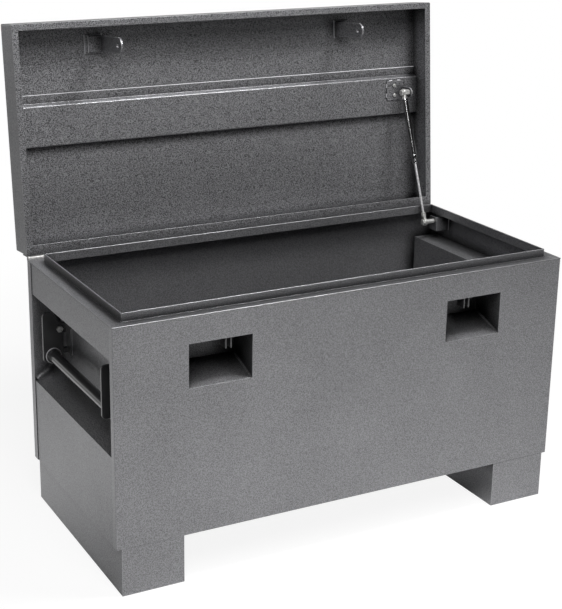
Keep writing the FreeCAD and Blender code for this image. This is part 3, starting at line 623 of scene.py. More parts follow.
def mark_shaded_inside(mesh):
    """Give a face 1 within the lid, and 0 on the lid's outer faces; the paint darkens the marked faces as painted
    shade and strengthens their grain as painted glints.
    """
    low, high = closed_box("lid_shell")
    back = LID_OPEN.inverted()
    marks = []
    for face in mesh.polygons:
        spot = back @ face.center
        depth = min(spot.x - low.x, high.x - spot.x, spot.y - low.y, high.y - spot.y,
                    high.z - spot.z)
        marks.append(float(depth > SKIN_DEPTH))
    mesh.attributes.new("inside", "FLOAT", "FACE").data.foreach_set("value", marks)


def dress(piece, slot, body, *nodes):
    """Give a piece its finish, hang it on its body, and hide the nodes that it stands for."""
    if slot == "lid":
        mark_shaded_inside(piece.data)
    piece.data.materials.clear()
    piece.data.materials.append(finish_for(slot))
    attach(piece, body)
    if nodes:
        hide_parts(*nodes)
    slot in set(SLOT_OF.values())
    return piece


def formed(node, radius, bends=False):
    """A CAD node as a finished piece of steel, with its edges eased."""
    piece = link(node + "_finished", merged_copy(node))
    ease(piece, radius, bends)
    return dress(piece, SLOT_OF[node], BODY_OF[node], node)


def beads_pattern():
    """Weld ripples along the edges of a mesh."""
    pattern = Pattern("weld_ripples", {"Pitch": 1.7 * MM, "Width": 3.2 * MM})
    line = pattern.add("GeometryNodeMeshToCurve", inputs={0: pattern.given("Geometry")})
    points = pattern.add("GeometryNodeCurveToPoints", {"mode": "LENGTH"}, {
        "Curve": line, "Length": pattern.given("Pitch")})
    turn = Wire(pattern, points.socket.node.outputs["Rotation"])
    ripple = pattern.add("GeometryNodeMeshUVSphere", inputs={
        "Segments": 8, "Rings": 5, "Radius": 0.5})
    width = pattern.given("Width")
    placed = pattern.add("GeometryNodeInstanceOnPoints", inputs={
        "Points": points, "Instance": ripple, "Rotation": turn,
        "Scale": pattern.vector(width, width, pattern.given("Pitch") * 2.0)})
    return pattern.end(placed, finish_for("weld"))


def domes_pattern():
    """A domed head on every vertex of a mesh, facing +Y."""
    pattern = Pattern("rivet_heads", {"Diameter": 7.5 * MM, "Rise": 1.8 * MM})
    head = pattern.add("GeometryNodeMeshUVSphere", inputs={
        "Segments": 16, "Rings": 8, "Radius": 0.5})
    wide = pattern.given("Diameter")
    placed = pattern.add("GeometryNodeInstanceOnPoints", inputs={
        "Points": pattern.given("Geometry"), "Instance": head,
        "Scale": pattern.vector(wide, pattern.given("Rise") * 2.0, wide)})
    return pattern.end(placed, finish_for("hinge"))


def rings_pattern(slot):
    """A round ring on every vertex of a mesh, lying across Z."""
    pattern = Pattern("rings_" + slot, {"Radius": 4 * MM, "Thickness": 1 * MM})
    hoop = pattern.add("GeometryNodeCurvePrimitiveCircle", {"mode": "RADIUS"}, {
        "Resolution": 32, "Radius": pattern.given("Radius")})
    section = pattern.add("GeometryNodeCurvePrimitiveCircle", {"mode": "RADIUS"}, {
        "Resolution": 8, "Radius": pattern.given("Thickness") / 2.0})
    ring = pattern.add("GeometryNodeCurveToMesh", inputs={
        "Curve": hoop, "Profile Curve": section})
    placed = pattern.add("GeometryNodeInstanceOnPoints", inputs={
        "Points": pattern.given("Geometry"), "Instance": ring})
    return pattern.end(placed, finish_for(slot))


def repeated(name, pattern, sizes, points, edges, place=None):
    """A plain mesh of what a pattern puts on points and edges."""
    mesh = bpy.data.meshes.new(name)
    mesh.from_pydata([tuple(point) for point in points], edges, [])
    piece = link(name, mesh)
    modifier = piece.modifiers.new("pattern", "NODES")
    modifier.node_group = pattern
    for socket in pattern.interface.items_tree:
        if socket.in_out == "INPUT" and socket.name in sizes:
            modifier[socket.identifier] = sizes[socket.name]
    evaluated(piece)
    if place:
        piece.data.transform(place)
    piece.data.polygons.foreach_set("use_smooth", [True] * len(piece.data.polygons))
    return piece


def weld(name, body, runs, place=None):
    """Weld beads along runs, each a list of points."""
    joining = bpy.context.scene.storage_joining
    points, edges = [], []
    for run in runs:
        first = len(points)
        points.extend(run)
        edges.extend((first + step, first + step + 1) for step in range(len(run) - 1))
    group = bpy.data.node_groups.get("weld_ripples") or beads_pattern()
    piece = repeated(name, group, {"Pitch": joining.bead_pitch, "Width": joining.bead_width},
                     points, edges, place)
    return dress(piece, "weld", body)


def rings(name, slot, body, radius, thickness, heights, place):
    """Rings round an axis at the given heights along it."""
    group = bpy.data.node_groups.get("rings_" + slot) or rings_pattern(slot)
    piece = repeated(name, group, {"Radius": radius, "Thickness": thickness},
                     [(0, 0, height) for height in heights], [], place)
    return dress(piece, slot, body)


def closed_piece(shape, name, place=None, bends=False):
    """A smooth piece from a closed shape, with its faces turned outwards."""
    bmesh.ops.recalc_face_normals(shape, faces=shape.faces)
    mesh = mesh_of(shape, name)
    if place:
        mesh.transform(place)
    piece = link(name, mesh)
    mark_eased(mesh, bends)
    smooth(piece)
    return piece


def lathed(name, profile, place, steps=40):
    """A closed round shape turned about Z from a profile of radius and height."""
    shape = bmesh.new()
    line = [shape.verts.new((radius, 0, height)) for radius, height in profile]
    edges = [shape.edges.new(pair) for pair in zip(line, line[1:])]
    bmesh.ops.spin(shape, geom=line + edges, cent=(0, 0, 0), axis=(0, 0, 1),
                   angle=2 * math.pi, steps=steps, use_merge=True)
    bmesh.ops.remove_doubles(shape, verts=shape.verts, dist=SAME_PLACE / 2)
    return closed_piece(shape, name, place)


def closed_box(node):
    """Lowest and highest corners of a lid node in its closed place."""
    back = LID_OPEN.inverted()
    corners = [back @ vertex.co for vertex in frame["nodes"][node].data.vertices]
    return tuple(Vector(pick(corner[axis] for corner in corners) for axis in range(3))
                 for pick in (min, max))


def run_between(start, end, pitch=6 * MM):
    """Points from start to end, close enough together for a bead to follow."""
    start, end = Vector(start), Vector(end)
    steps = max(1, round((end - start).length / pitch))
    return [start.lerp(end, step / steps) for step in range(steps + 1)]


def tacks(start, end, length, count):
    """Equal short runs spread along a line."""
    start, end = Vector(start), Vector(end)
    half = (end - start).normalized() * length / 2
    middles = [start.lerp(end, (index + 0.5) / count) for index in range(count)]
    return [run_between(middle - half, middle + half) for middle in middles]


def corner_fillet(name, body, start, end, along, up, radius):
    """A concave sealing strip in the corner between two faces that meet on a line."""
    start, end, along, up = Vector(start), Vector(end), Vector(along), Vector(up).normalized()
    steps = bpy.context.scene.storage_steel.fold_steps
    section = [Vector((0, 0))]
    for step in range(steps + 1):
        angle = math.pi / 2 * step / steps
        section.append(Vector((1 - math.sin(angle), 1 - math.cos(angle))) * radius)
    shape = bmesh.new()
    rows = [[shape.verts.new(foot + along * across + up * rise) for across, rise in section]
            for foot in (start, end)]
    for index in range(len(section)):
        following = (index + 1) % len(section)
        shape.faces.new((rows[0][index], rows[0][following], rows[1][following],
                         rows[1][index]))
    for row in rows:
        shape.faces.new(row)
    return dress(closed_piece(shape, name), "casing", body)


def folded(name, path, thickness, radius, start, end, place):
    """A sheet folded along a path of Y and Z with round bends, running in X from start to end."""
    points = [Vector(point) for point in path]
    ways = [(after - before).normalized() for before, after in zip(points, points[1:])]
    steps = bpy.context.scene.storage_steel.fold_steps
    line = [(points[0], ways[0])]
    for corner, before, after in zip(points[1:], ways, ways[1:]):
        turn = before.angle_signed(after)
        reach = radius * math.tan(abs(turn) / 2)
        side = Vector((before.y, -before.x)) * math.copysign(1, turn)
        foot = corner - before * reach
        for step in range(steps + 1):
            spin = Matrix.Rotation(-turn * step / steps, 2)
            line.append((foot + side * radius - spin @ side * radius, spin @ before))
    line.append((points[-1], ways[-1]))
    shape = bmesh.new()
    rows = []
    for point, way in line:
        across = Vector((way.y, -way.x)) * thickness / 2
        section = (point + across, point - across)
        rows.append([shape.verts.new((x, spot.x, spot.y)) for spot in section
                     for x in (start, end)])
    for row, following in zip(rows, rows[1:]):
        for first, second in ((0, 1), (1, 3), (3, 2), (2, 0)):
            shape.faces.new((row[first], row[second], following[second], following[first]))
    for row in (rows[0], rows[-1]):
        shape.faces.new((row[0], row[1], row[3], row[2])).material_index = 1
    return closed_piece(shape, name, place, bends=True)


def across_x(centre):
    """A place whose Z runs along the frame's X."""
    return Matrix.Translation(centre) @ Matrix.Rotation(math.pi / 2, 4, "Y")


# Pieces


class STORAGE_OT_walls(bpy.types.Operator):
    """Front and rear walls bent over into the rim, the ends and the floor."""

    bl_idname = "storage.walls"
    bl_label = "Walls and rim"

    def execute(self, context):
        steel = context.scene.storage_steel
        for panel, rim in (("front_panel", "front_rim"), ("rear_panel", "rear_rim")):
            self.bent_wall(steel, panel, rim)
        for rim in ("left_rim", "right_rim"):
            piece = link(rim + "_finished", merged_copy(rim))
            self.round_rim(steel, piece, steel.rim_edge)
            dress(piece, "casing", "box", rim)
        for panel in ("left_side_panel", "right_side_panel", "floor_panel"):
            formed(panel, steel.sheet_edge)
        return {"FINISHED"}

    def bent_wall(self, steel, panel, rim):
        """A wall and its rim as one folded sheet."""
        piece = link(panel + "_finished", merged_copy(panel))
        other = link(rim + "_copy", merged_copy(rim))
        union = piece.modifiers.new("union", "BOOLEAN")
        union.operation = "UNION"
        union.solver = "EXACT"
        union.object = other
        evaluated(piece)
        bpy.data.objects.remove(other)
        piece.data = merged(piece.data, panel + "_wall")
        self.round_rim(steel, piece, steel.rim_bend, bends=True)
        dress(piece, "casing", "box", panel, rim)

    def round_rim(self, steel, piece, bend, bends=False):
        """Round the outer edge and the lip of the rim, and ease the rest."""
        low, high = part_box("front_rim")
        left, right = low[0], high[0]
        front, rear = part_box("front_panel")[0][1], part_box("rear_panel")[1][1]
        ledge, lip = HINGE.z, high[2]
        shape = bmesh.new()
        shape.from_mesh(piece.data)
        layer = shape.edges.layers.float.new("bevel_weight_edge")
        near = 0.01 * MM
        for edge in shape.edges:
            if len(edge.link_faces) != 2 or edge.calc_face_angle(0) < EDGE_TURN:
                continue
            ends = [vertex.co for vertex in edge.verts]
            outside = any(all(abs(end[axis] - side) < near for end in ends)
                          for axis, side in ((0, left), (0, right), (1, front), (1, rear)))
            if outside and all(abs(end.z - ledge) < near for end in ends):
                radius = bend
            elif all(abs(end.z - lip) < near for end in ends):
                radius = steel.lip_edge
            else:
                radius = steel.sheet_edge
            edge[layer] = radius / steel.rim_bend
        shape.to_mesh(piece.data)
        shape.free()
        ease(piece, steel.rim_bend, bends, weights=True)


class STORAGE_OT_skids(bpy.types.Operator):
    """The two skids, with stitch welds under the floor."""

    bl_idname = "storage.skids"
    bl_label = "Skids"

    stitches: bpy.props.IntProperty(
        name="Stitches", description="Welds along either skid", default=5)

    def execute(self, context):
        joining = context.scene.storage_joining
        runs = []
        for skid in ("left_skid", "right_skid"):
            formed(skid, context.scene.storage_steel.plate_edge)
            low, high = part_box(skid)
            inner = high[0] if high[0] < 0 else low[0]
            runs += tacks((inner, low[1], high[2]), (inner, high[1], high[2]),
                          joining.tack_length * 2, self.stitches)
        weld("skid_welds", "box", runs)
        return {"FINISHED"}


class STORAGE_OT_housings(bpy.types.Operator):
    """Handle pockets, lock recesses and staples, sealed in their corners."""

    bl_idname = "storage.housings"
    bl_label = "Pockets and recesses"

    pocket_corner: bpy.props.FloatProperty(
        name="Pocket corner", description="Radius of the corners beside a pocket's floor",
        default=9 * MM, unit="LENGTH")
    recess_corner: bpy.props.FloatProperty(
        name="Recess corner", description="Radius of the corners beside a recess's floor",
        default=3.5 * MM, unit="LENGTH")
    pocket_sill: bpy.props.FloatProperty(
        name="Pocket sill", description="Height of a pocket's floor at the side opening",
        default=299 * MM, unit="LENGTH")
    pocket_rise: bpy.props.FloatProperty(
        name="Pocket rise", description="How far a pocket's floor rises to its back",
        default=41 * MM, unit="LENGTH")
    recess_sill: bpy.props.FloatProperty(
        name="Recess sill", description="Height of a recess's floor at the lock opening",
        default=423 * MM, unit="LENGTH")
    recess_rise: bpy.props.FloatProperty(
        name="Recess rise", description="How far a recess's floor rises to its back",
        default=28 * MM, unit="LENGTH")

    def execute(self, context):
        steel = context.scene.storage_steel
        for side, sign in (("left", -1), ("right", 1)):
            pocket, recess = side + "_handle_pocket", side + "_lock_recess"
            formed(pocket, steel.sheet_edge)
            # The recesses take the darker recess paint and the staples the handles' dark paint: both painted shade
            for node, coat in ((recess, "recess"), (side + "_lock_staple", "handles")):
                piece = link(node + "_finished", merged_copy(node))
                ease(piece, steel.sheet_edge)
                dress(piece, coat, "box", node)
            self.pocket_corners(side, sign, steel.sheet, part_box(pocket))
            self.recess_corners(side, steel.sheet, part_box(recess))
            low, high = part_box(side + "_lock_staple")
            weld(side + "_staple_welds", "box", [
                run_between((x, low[1], high[2]), (x, high[1], high[2]))
                for x in (low[0], high[0])])
        return {"FINISHED"}

    def pocket_corners(self, side, sign, sheet, corners):
        """Strips beside the floor that rises from the side opening to the back."""
        low, high = corners
        sill, rise = self.pocket_sill, self.pocket_rise
        opening = Vector((sign * (FRAME_HIGH.x - 2 * sheet), 0, sill))
        end = Vector(((high[0] if sign < 0 else low[0]) + sign * sheet, 0, sill + rise))
        depth = abs(end.x - opening.x)
        # The strip's near end stays behind the side panel
        inward = self.pocket_corner * rise / (end - opening).length - sheet
        start = opening.lerp(end, inward / depth)
        up = (sign * rise, 0, depth)
        for label, y, way in (("front", low[1] + sheet, 1), ("rear", high[1] - sheet, -1)):
            corner_fillet(f"{side}_pocket_{label}_corner", "box", (start.x, y, start.z),
                          (end.x, y, end.z), (0, way, 0), up, self.pocket_corner)

    def recess_corners(self, side, sheet, corners):
        """Strips beside the floor that rises from the lock opening to the back."""
        low, high = corners
        sill, rise = self.recess_sill, self.recess_rise
        back = high[1] - sheet
        up = (0, -rise, back - low[1])
        for label, x, way in (("left", low[0] + sheet, 1), ("right", high[0] - sheet, -1)):
            corner_fillet(f"{side}_recess_{label}_corner", "box", (x, low[1], sill),
                          (x, back, sill + rise), (way, 0, 0), up, self.recess_corner)


class STORAGE_OT_lid(bpy.types.Operator):
    """The lid and its stiffener, stitched to the skin."""

    bl_idname = "storage.lid"
    bl_label = "Lid"

    face: bpy.props.FloatProperty(
        name="Face", description="Width of the stiffener's face", default=89.5 * MM,
        unit="LENGTH")
    lean: bpy.props.FloatProperty(
        name="Lean", description="How far the stiffener's front web leans over its flange",
        default=4.5 * MM, unit="LENGTH")
    bend: bpy.props.FloatProperty(
        name="Bend", description="Radius of the stiffener's bends, to the sheet's middle",
        default=2.6 * MM, unit="LENGTH")
    tacks: bpy.props.IntProperty(
        name="Tacks", description="Short welds along the stiffener's rear web", default=9)

    def execute(self, context):
        steel = context.scene.storage_steel
        joining = context.scene.storage_joining
        formed("lid_shell", steel.sheet_edge, bends=True)
        low, high = closed_box("lid_stiffener")
        self.stiffener(steel.sheet, low, high)
        runs = tacks((low.x, high.y, high.z), (high.x, high.y, high.z),
                     joining.tack_length, self.tacks)
        runs.append(run_between((low.x, low.y, high.z), (high.x, low.y, high.z)))
        weld("stiffener_welds", "lid", runs, LID_OPEN)
        return {"FINISHED"}

    def stiffener(self, sheet, low, high):
        """A channel folded from one sheet: web, face, leaning web and long flange."""
        half = sheet / 2
        face_end = high.y - self.face
        path = [(high.y - half, high.z), (high.y - half, low.z + half),
                (face_end, low.z + half), (face_end - self.lean, high.z - half),
                (low.y, high.z - half)]
        piece = folded("lid_stiffener_folded", path, sheet, self.bend, low.x, high.x,
                       LID_OPEN)
        dress(piece, "lid", "lid", "lid_stiffener")


class STORAGE_OT_hasps(bpy.types.Operator):
    """The hasps on their backing plates, welded on."""

    bl_idname = "storage.hasps"
    bl_label = "Hasps"

    def execute(self, context):
        steel = context.scene.storage_steel
        for side in ("left", "right"):
            formed(side + "_hasp", steel.plate_edge)
            formed(side + "_hasp_plate", steel.plate_edge * 1.5)
            low, high = closed_box(side + "_hasp_plate")
            skin = high.z
            runs = [run_between((x, low.y, skin), (x, high.y, skin))
                    for x in (low.x, high.x)]
            leg_low, leg_high = closed_box(side + "_hasp")
            outer = leg_low.x if side == "left" else leg_high.x
            runs.append(run_between((outer, leg_low.y, low.z), (outer, leg_high.y, low.z)))
            weld(side + "_hasp_welds", "lid", runs, LID_OPEN)
        return {"FINISHED"}


class STORAGE_OT_hinge(bpy.types.Operator):
    """The piano hinge, riveted along both leaves."""

    bl_idname = "storage.hinge"
    bl_label = "Hinge"

    leaf_face: bpy.props.FloatProperty(
        name="Leaf face", description="From the hinge axis forward to the leaves' outer faces",
        default=3 * MM, unit="LENGTH")
    rivet_reach: bpy.props.FloatProperty(
        name="Rivet reach", description="From the hinge axis to the rivets along a leaf",
        default=19 * MM, unit="LENGTH")

    def execute(self, context):
        steel = context.scene.storage_steel
        joining = context.scene.storage_joining
        for node in ("hinge_box_leaf", "hinge_lid_leaf", "hinge_pin"):
            formed(node, steel.hardware_edge)
        count = int(2 * FRAME_HIGH.x / joining.rivet_pitch)
        pattern = domes_pattern()
        for name, body, way, place in (("box_leaf_rivets", "box", -1, None),
                                       ("lid_leaf_rivets", "lid", 1, LID_OPEN)):
            points = [(joining.rivet_pitch * (index - (count - 1) / 2),
                       HINGE.y - self.leaf_face, HINGE.z + way * self.rivet_reach)
                      for index in range(count)]
            piece = repeated(name, pattern, {"Diameter": joining.rivet}, points, [], place)
            dress(piece, "hinge", body)
        return {"FINISHED"}


class STORAGE_OT_strut(bpy.types.Operator):
    """The gas strut with its collar, eyes, bolts and brackets."""

    bl_idname = "storage.strut"
    bl_label = "Gas strut"

    tube: bpy.props.FloatProperty(
        name="Tube", description="Diameter of the pressure tube", default=15 * MM,
        unit="LENGTH")
    collar: bpy.props.FloatProperty(
        name="Collar", description="Length of the collar that guides the rod",
        default=12 * MM, unit="LENGTH")
    wall: bpy.props.FloatProperty(
        name="Wall", description="Wall of the pressure tube", default=1.2 * MM, unit="LENGTH")
    guide: bpy.props.FloatProperty(
        name="Guide", description="Radius of the hole that guides the rod",
        default=3.08 * MM, unit="LENGTH")
    neck: bpy.props.FloatProperty(
        name="Neck", description="Radius of the collar", default=5 * MM, unit="LENGTH")
    crimp: bpy.props.FloatProperty(
        name="Crimp", description="Depth of the grooves rolled into the tube",
        default=0.5 * MM, unit="LENGTH")
    crimp_width: bpy.props.FloatProperty(
        name="Crimp width", description="Width of either flank of a rolled groove",
        default=1 * MM, unit="LENGTH")
    rib_pitch: bpy.props.FloatProperty(
        name="Rib pitch", description="Distance between the collar's ribs",
        default=2.2 * MM, unit="LENGTH")
    rib_count: bpy.props.IntProperty(
        name="Ribs", description="Ribs round the collar", default=5)
    bracket_width: bpy.props.FloatProperty(
        name="Bracket width", description="Length of the lid bracket's plate",
        default=47 * MM, unit="LENGTH")
    bracket_tack: bpy.props.FloatProperty(
        name="Bracket tack", description="Length of the short welds round the lid bracket",
        default=7 * MM, unit="LENGTH")
    thread_radius: bpy.props.FloatProperty(
        name="Thread radius", description="Radius of the studs' threads at mid depth",
        default=3.1 * MM, unit="LENGTH")

    def execute(self, context):
        steel = context.scene.storage_steel
        for node in ("strut_rod", "strut_head_eye", "strut_foot_eye", "strut_head_bolt",
                     "strut_lid_stud", "strut_wall_stud", "lid_bracket_rivets",
                     "wall_bracket_rivets", "strut_piston"):
            formed(node, steel.hardware_edge)
        for node in ("strut_lid_bracket", "strut_wall_bracket"):
            formed(node, steel.plate_edge)
        self.tube_piece()
        self.bracket_welds()
        self.threads(context.scene.storage_joining)
        return {"FINISHED"}

    def tube_piece(self):
        """The tube, rolled in over its collar and crimped near both ends."""
        heights = [(vertex.co - STRUT_FOOT).dot(STRUT_WAY)
                   for vertex in frame["nodes"]["strut_tube"].data.vertices]
        low, high = min(heights), max(heights)
        outer, guide, neck = self.tube / 2, self.guide, self.neck
        bore = outer - self.wall
        waist = outer - self.crimp
        shoulder = low + self.collar
        front_crimp, rear_crimp = shoulder + 9 * MM, high - 6 * MM
        profile = [
            (guide, low), (neck - 0.6 * MM, low), (neck, low + 0.6 * MM),
            (neck, shoulder), (outer - 0.9 * MM, shoulder + 0.2 * MM),
            (outer, shoulder + 1.6 * MM), (outer, front_crimp - self.crimp_width),
            (waist, front_crimp), (outer, front_crimp + self.crimp_width),
            (outer, rear_crimp - self.crimp_width), (waist, rear_crimp),
            (outer, rear_crimp + self.crimp_width), (outer, high - 2 * MM),
            (outer - 0.8 * MM, high - 0.4 * MM), (outer - 2 * MM, high), (0, high),
            (0, high - self.wall), (bore, high - self.wall), (bore, shoulder + self.wall),
            (guide, shoulder + self.wall), (guide, low)]
        piece = lathed("strut_tube_finished", profile, STRUT_LEAN)
        dress(piece, "strut_body", "strut_tube", "strut_tube")
        ribs = [low + 1.4 * MM + self.rib_pitch * rib for rib in range(self.rib_count)]
        rings("strut_collar_ribs", "strut_body", "strut_tube", neck + 0.4 * MM, 1.5 * MM,
              ribs, STRUT_LEAN)

    def bracket_welds(self):
        """Short welds that hold the lid bracket, and upright beads on the wall bracket."""
        low, high = closed_box("strut_lid_bracket")
        near, far = low.x, low.x + self.bracket_width
        runs = []
        for start, end, count in (((near, high.y), (far, high.y), 3),
                                  ((near, low.y), (far, low.y), 2),
                                  ((near, low.y), (near, high.y), 2)):
            runs += tacks((*start, high.z), (*end, high.z), self.bracket_tack, count)
        weld("lid_bracket_welds", "lid", runs, LID_OPEN)
        low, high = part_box("strut_wall_bracket")
        weld("wall_bracket_welds", "box", [
            run_between((high[0], y, low[2]), (high[0], y, high[2]))
            for y in (low[1], high[1])])

    def threads(self, joining):
        """Thread that stands out of the studs' nuts."""
        pitch = joining.thread_pitch
        heights = [pitch * (turn + 0.5) for turn in range(int(joining.thread_length / pitch))]
        low, high = closed_box("strut_lid_stud")
        head = LID_OPEN @ Vector((high.x, (low.y + high.y) / 2, (low.z + high.z) / 2))
        rings("lid_stud_thread", "fasteners", "lid", self.thread_radius, pitch * 1.1, heights,
              across_x(head))
        low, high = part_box("strut_wall_stud")
        end = Vector((high[0], (low[1] + high[1]) / 2, (low[2] + high[2]) / 2))
        rings("wall_stud_thread", "fasteners", "box", self.thread_radius, pitch * 1.1, heights,
              across_x(end))


class STORAGE_OT_handles(bpy.types.Operator):
    """The drop handles: arms, grip tubes welded to them, ears and pivots."""

    bl_idname = "storage.handles"
    bl_label = "Drop handles"

    ear_foot: bpy.props.FloatProperty(
        name="Ear foot", description="Width of an ear's foot", default=28 * MM,
        unit="LENGTH")
    bead_corners: bpy.props.IntProperty(
        name="Bead corners", description="Corners of the bead round a grip's end", default=32)

    def execute(self, context):
        steel = context.scene.storage_steel
        for side in ("left", "right"):
            body = side + "_handle"
            for arm in ("_front_arm", "_rear_arm"):
                formed(body + arm, steel.plate_edge)
            formed(body + "_grip", steel.hardware_edge)
            formed(body + "_ears", steel.plate_edge)
            formed(body + "_pivots", steel.hardware_edge)
            self.grip_welds(side, body)
            self.ear_welds(side, body, self.ear_foot)
        return {"FINISHED"}

    def grip_welds(self, side, body):
        """A bead round each end of the grip, where its collar meets the arm."""
        low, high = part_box(body + "_grip")
        middle = Vector(((low[0] + high[0]) / 2, 0, (low[2] + high[2]) / 2))
        radius = (high[0] - low[0]) / 2
        runs = []
        for y in (low[1], high[1]):
            turns = (2 * math.pi * step / self.bead_corners
                     for step in range(self.bead_corners + 1))
            runs.append([middle + Vector((math.cos(turn) * radius, y,
                                          math.sin(turn) * radius)) for turn in turns])
        weld(side + "_grip_welds", body, runs)

    def ear_welds(self, side, body, foot):
        """Upright beads beside the ears' feet."""
        low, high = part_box(body + "_ears")
        back = high[0] if side == "left" else low[0]
        weld(side + "_ear_welds", "box", [
            run_between((back, y, low[2]), (back, y, high[2]))
            for y in (low[1], low[1] + foot, high[1] - foot, high[1])])


# The stage


class STORAGE_PG_stage(bpy.types.PropertyGroup):
    """Camera, lamps and floor."""

    heading: bpy.props.FloatProperty(
        name="Heading", description="Turn of the view to the right of the box's depth",
        default=0.4716, subtype="ANGLE")
    dip: bpy.props.FloatProperty(
        name="Dip", description="How far the view looks down", default=0.3042, subtype="ANGLE")
    roll: bpy.props.FloatProperty(
        name="Roll", description="Turn of the camera round its view", default=0.0075,
        subtype="ANGLE")
    place: bpy.props.FloatVectorProperty(
        name="Camera place", description="Where the camera stands, from the frame's origin",
        default=(-1.4395, -2.6147, 1.4550), subtype="TRANSLATION", unit="LENGTH")
    lens: bpy.props.FloatProperty(
        name="Lens", description="Focal length for the long side's 36 mm sensor",
        default=82.17, unit="CAMERA")
    shift: bpy.props.FloatVectorProperty(
        name="Shift", description="Lens shift across and up", default=(0.0681, -0.0490), size=2)
    front_way: bpy.props.FloatVectorProperty(
        name="Front way", description="Where the front lamp stands, seen from the box",
        default=(-0.220, -0.604, 0.766), subtype="DIRECTION")
    front_distance: bpy.props.FloatProperty(
        name="Front distance", description="From the middle of the box to the front lamp",
        default=4.0, unit="LENGTH")
    front_size: bpy.props.FloatProperty(
        name="Front size", description="Side of the front lamp", default=2.0, unit="LENGTH")
    front_power: bpy.props.FloatProperty(
        name="Front power", description="Power of the front lamp", default=93.0, unit="POWER")
    top_way: bpy.props.FloatVectorProperty(
        name="Top way", description="Where the top lamp stands, seen from the box",
        default=(0.307, -0.320, 0.896), subtype="DIRECTION")
    top_distance: bpy.props.FloatProperty(
        name="Top distance", description="From the middle of the box to the top lamp",
        default=2.33, unit="LENGTH")
    top_size: bpy.props.FloatProperty(
        name="Top size", description="Side of the top lamp", default=0.6, unit="LENGTH")
    top_power: bpy.props.FloatProperty(
        name="Top power", description="Power of the top lamp", default=41.0, unit="POWER")
    surround: bpy.props.FloatProperty(
        name="Surround", description="Strength of the dim surroundings", default=0.02)
    floor_shade: bpy.props.FloatProperty(
        name="Floor shade", description="Brightness of the floor in the light that it throws",
        default=0.85)
    shadow: bpy.props.FloatProperty(
        name="Shadow", description="How much of the seen floor's brightness takes shadows",
        default=0.17)
    glow: bpy.props.FloatProperty(
        name="Glow", description="The rest of the seen floor's brightness near the box",
        default=0.89)
    floor_reach: bpy.props.FloatProperty(
        name="Floor reach", description="From the middle of the floor to its edge",
        default=15.0, unit="LENGTH")


def make_camera(stage):
    """A camera with the given place, turn and lens."""
    data = bpy.data.cameras.new("view")
    data.sensor_width = 36.0
    data.lens = stage.lens
    data.shift_x, data.shift_y = stage.shift
    data.clip_end = 50.0
    forward = Vector((math.sin(stage.heading) * math.cos(stage.dip),
                      math.cos(stage.heading) * math.cos(stage.dip), -math.sin(stage.dip)))
    level = forward.cross(Vector((0, 0, 1))).normalized()
    upright = level.cross(forward)
    right = math.cos(stage.roll) * level + math.sin(stage.roll) * upright
    up = math.cos(stage.roll) * upright - math.sin(stage.roll) * level
    camera = bpy.data.objects.new("view", data)
    camera.matrix_world = Matrix.Translation(stage.place) @ Matrix(
        (right, up, -forward)).transposed().to_4x4()
    bpy.context.collection.objects.link(camera)
    bpy.context.scene.camera = camera


def make_lamp(name, towards, distance, size, power):
    """A square area lamp that shines on the middle of the box from one direction."""
    data = bpy.data.lights.new(name, "AREA")
    data.size = size
    data.energy = power
    lamp = bpy.data.objects.new(name, data)
    middle = (FRAME_LOW + FRAME_HIGH) / 2
    direction = Vector(towards).normalized()
    lamp.location = middle + direction * distance
    lamp.rotation_mode = "QUATERNION"
    lamp.rotation_quaternion = direction.to_track_quat("Z", "Y")
    bpy.context.collection.objects.link(lamp)


def floor_finish(stage):
    """Pale, with the box's shadow, and white to the eye and to gloss behind the box."""
    floor = Finish("floor")
    outputs = floor.add("ShaderNodeLightPath").socket.node.outputs
    split = floor.add("ShaderNodeSeparateXYZ", inputs={0: floor.place}).socket.node.outputs
    away = floor.add("ShaderNodeVectorMath", {"operation": "LENGTH"}, {0: floor.place},
                     output="Value")
    # Gloss sees the floor behind the box as strong white nearby, and weak far away
    strong, weak, half = 0.75, 0.20, FRAME_HIGH.x
    rear = (floor.band(Wire(floor, split["Y"]), FRAME_LOW.y, FRAME_HIGH.y)
            * (strong - (strong - weak) * floor.band(away, half * 1.5, half * 3.5)))
    seen = (Wire(floor, outputs["Is Camera Ray"]) + Wire(floor, outputs["Is Transmission Ray"])
            + Wire(floor, outputs["Is Glossy Ray"]) * rear).at_most(1.0)
    pale, dim = (
        floor.add("ShaderNodeBsdfDiffuse", inputs={"Color": (shade, shade, shade, 1)})
        for shade in (stage.floor_shade, stage.shadow))
    near_glow, far = (
        floor.add("ShaderNodeEmission", inputs={"Color": WHITE, "Strength": strength})
        for strength in (stage.glow, 1.0))
    near = floor.add("ShaderNodeAddShader", inputs={0: dim, 1: near_glow})
    white = floor.add("ShaderNodeMixShader", inputs={
        0: floor.band(away, half * 2, half * 4), 1: near, 2: far})
    return floor.finish(floor.add("ShaderNodeMixShader", inputs={0: seen, 1: pale, 2: white}))


def make_floor(stage):
    """A wide floor under the box."""
    shape = bmesh.new()
    bmesh.ops.create_grid(shape, x_segments=1, y_segments=1, size=stage.floor_reach)
    floor = link("floor", mesh_of(shape, "floor"))
    floor.data.materials.append(floor_finish(stage))


class Surround(Tree):
    """The world's node tree under construction."""

    def __init__(self, name):
        self.world = bpy.data.worlds.new(name)
        self.world.use_nodes = True
        self.nodes = self.world.node_tree.nodes
        self.links = self.world.node_tree.links
        self.nodes.clear()

    def background(self, strength):
        """An even white background."""
        return self.add("ShaderNodeBackground", inputs={"Color": WHITE, "Strength": strength})


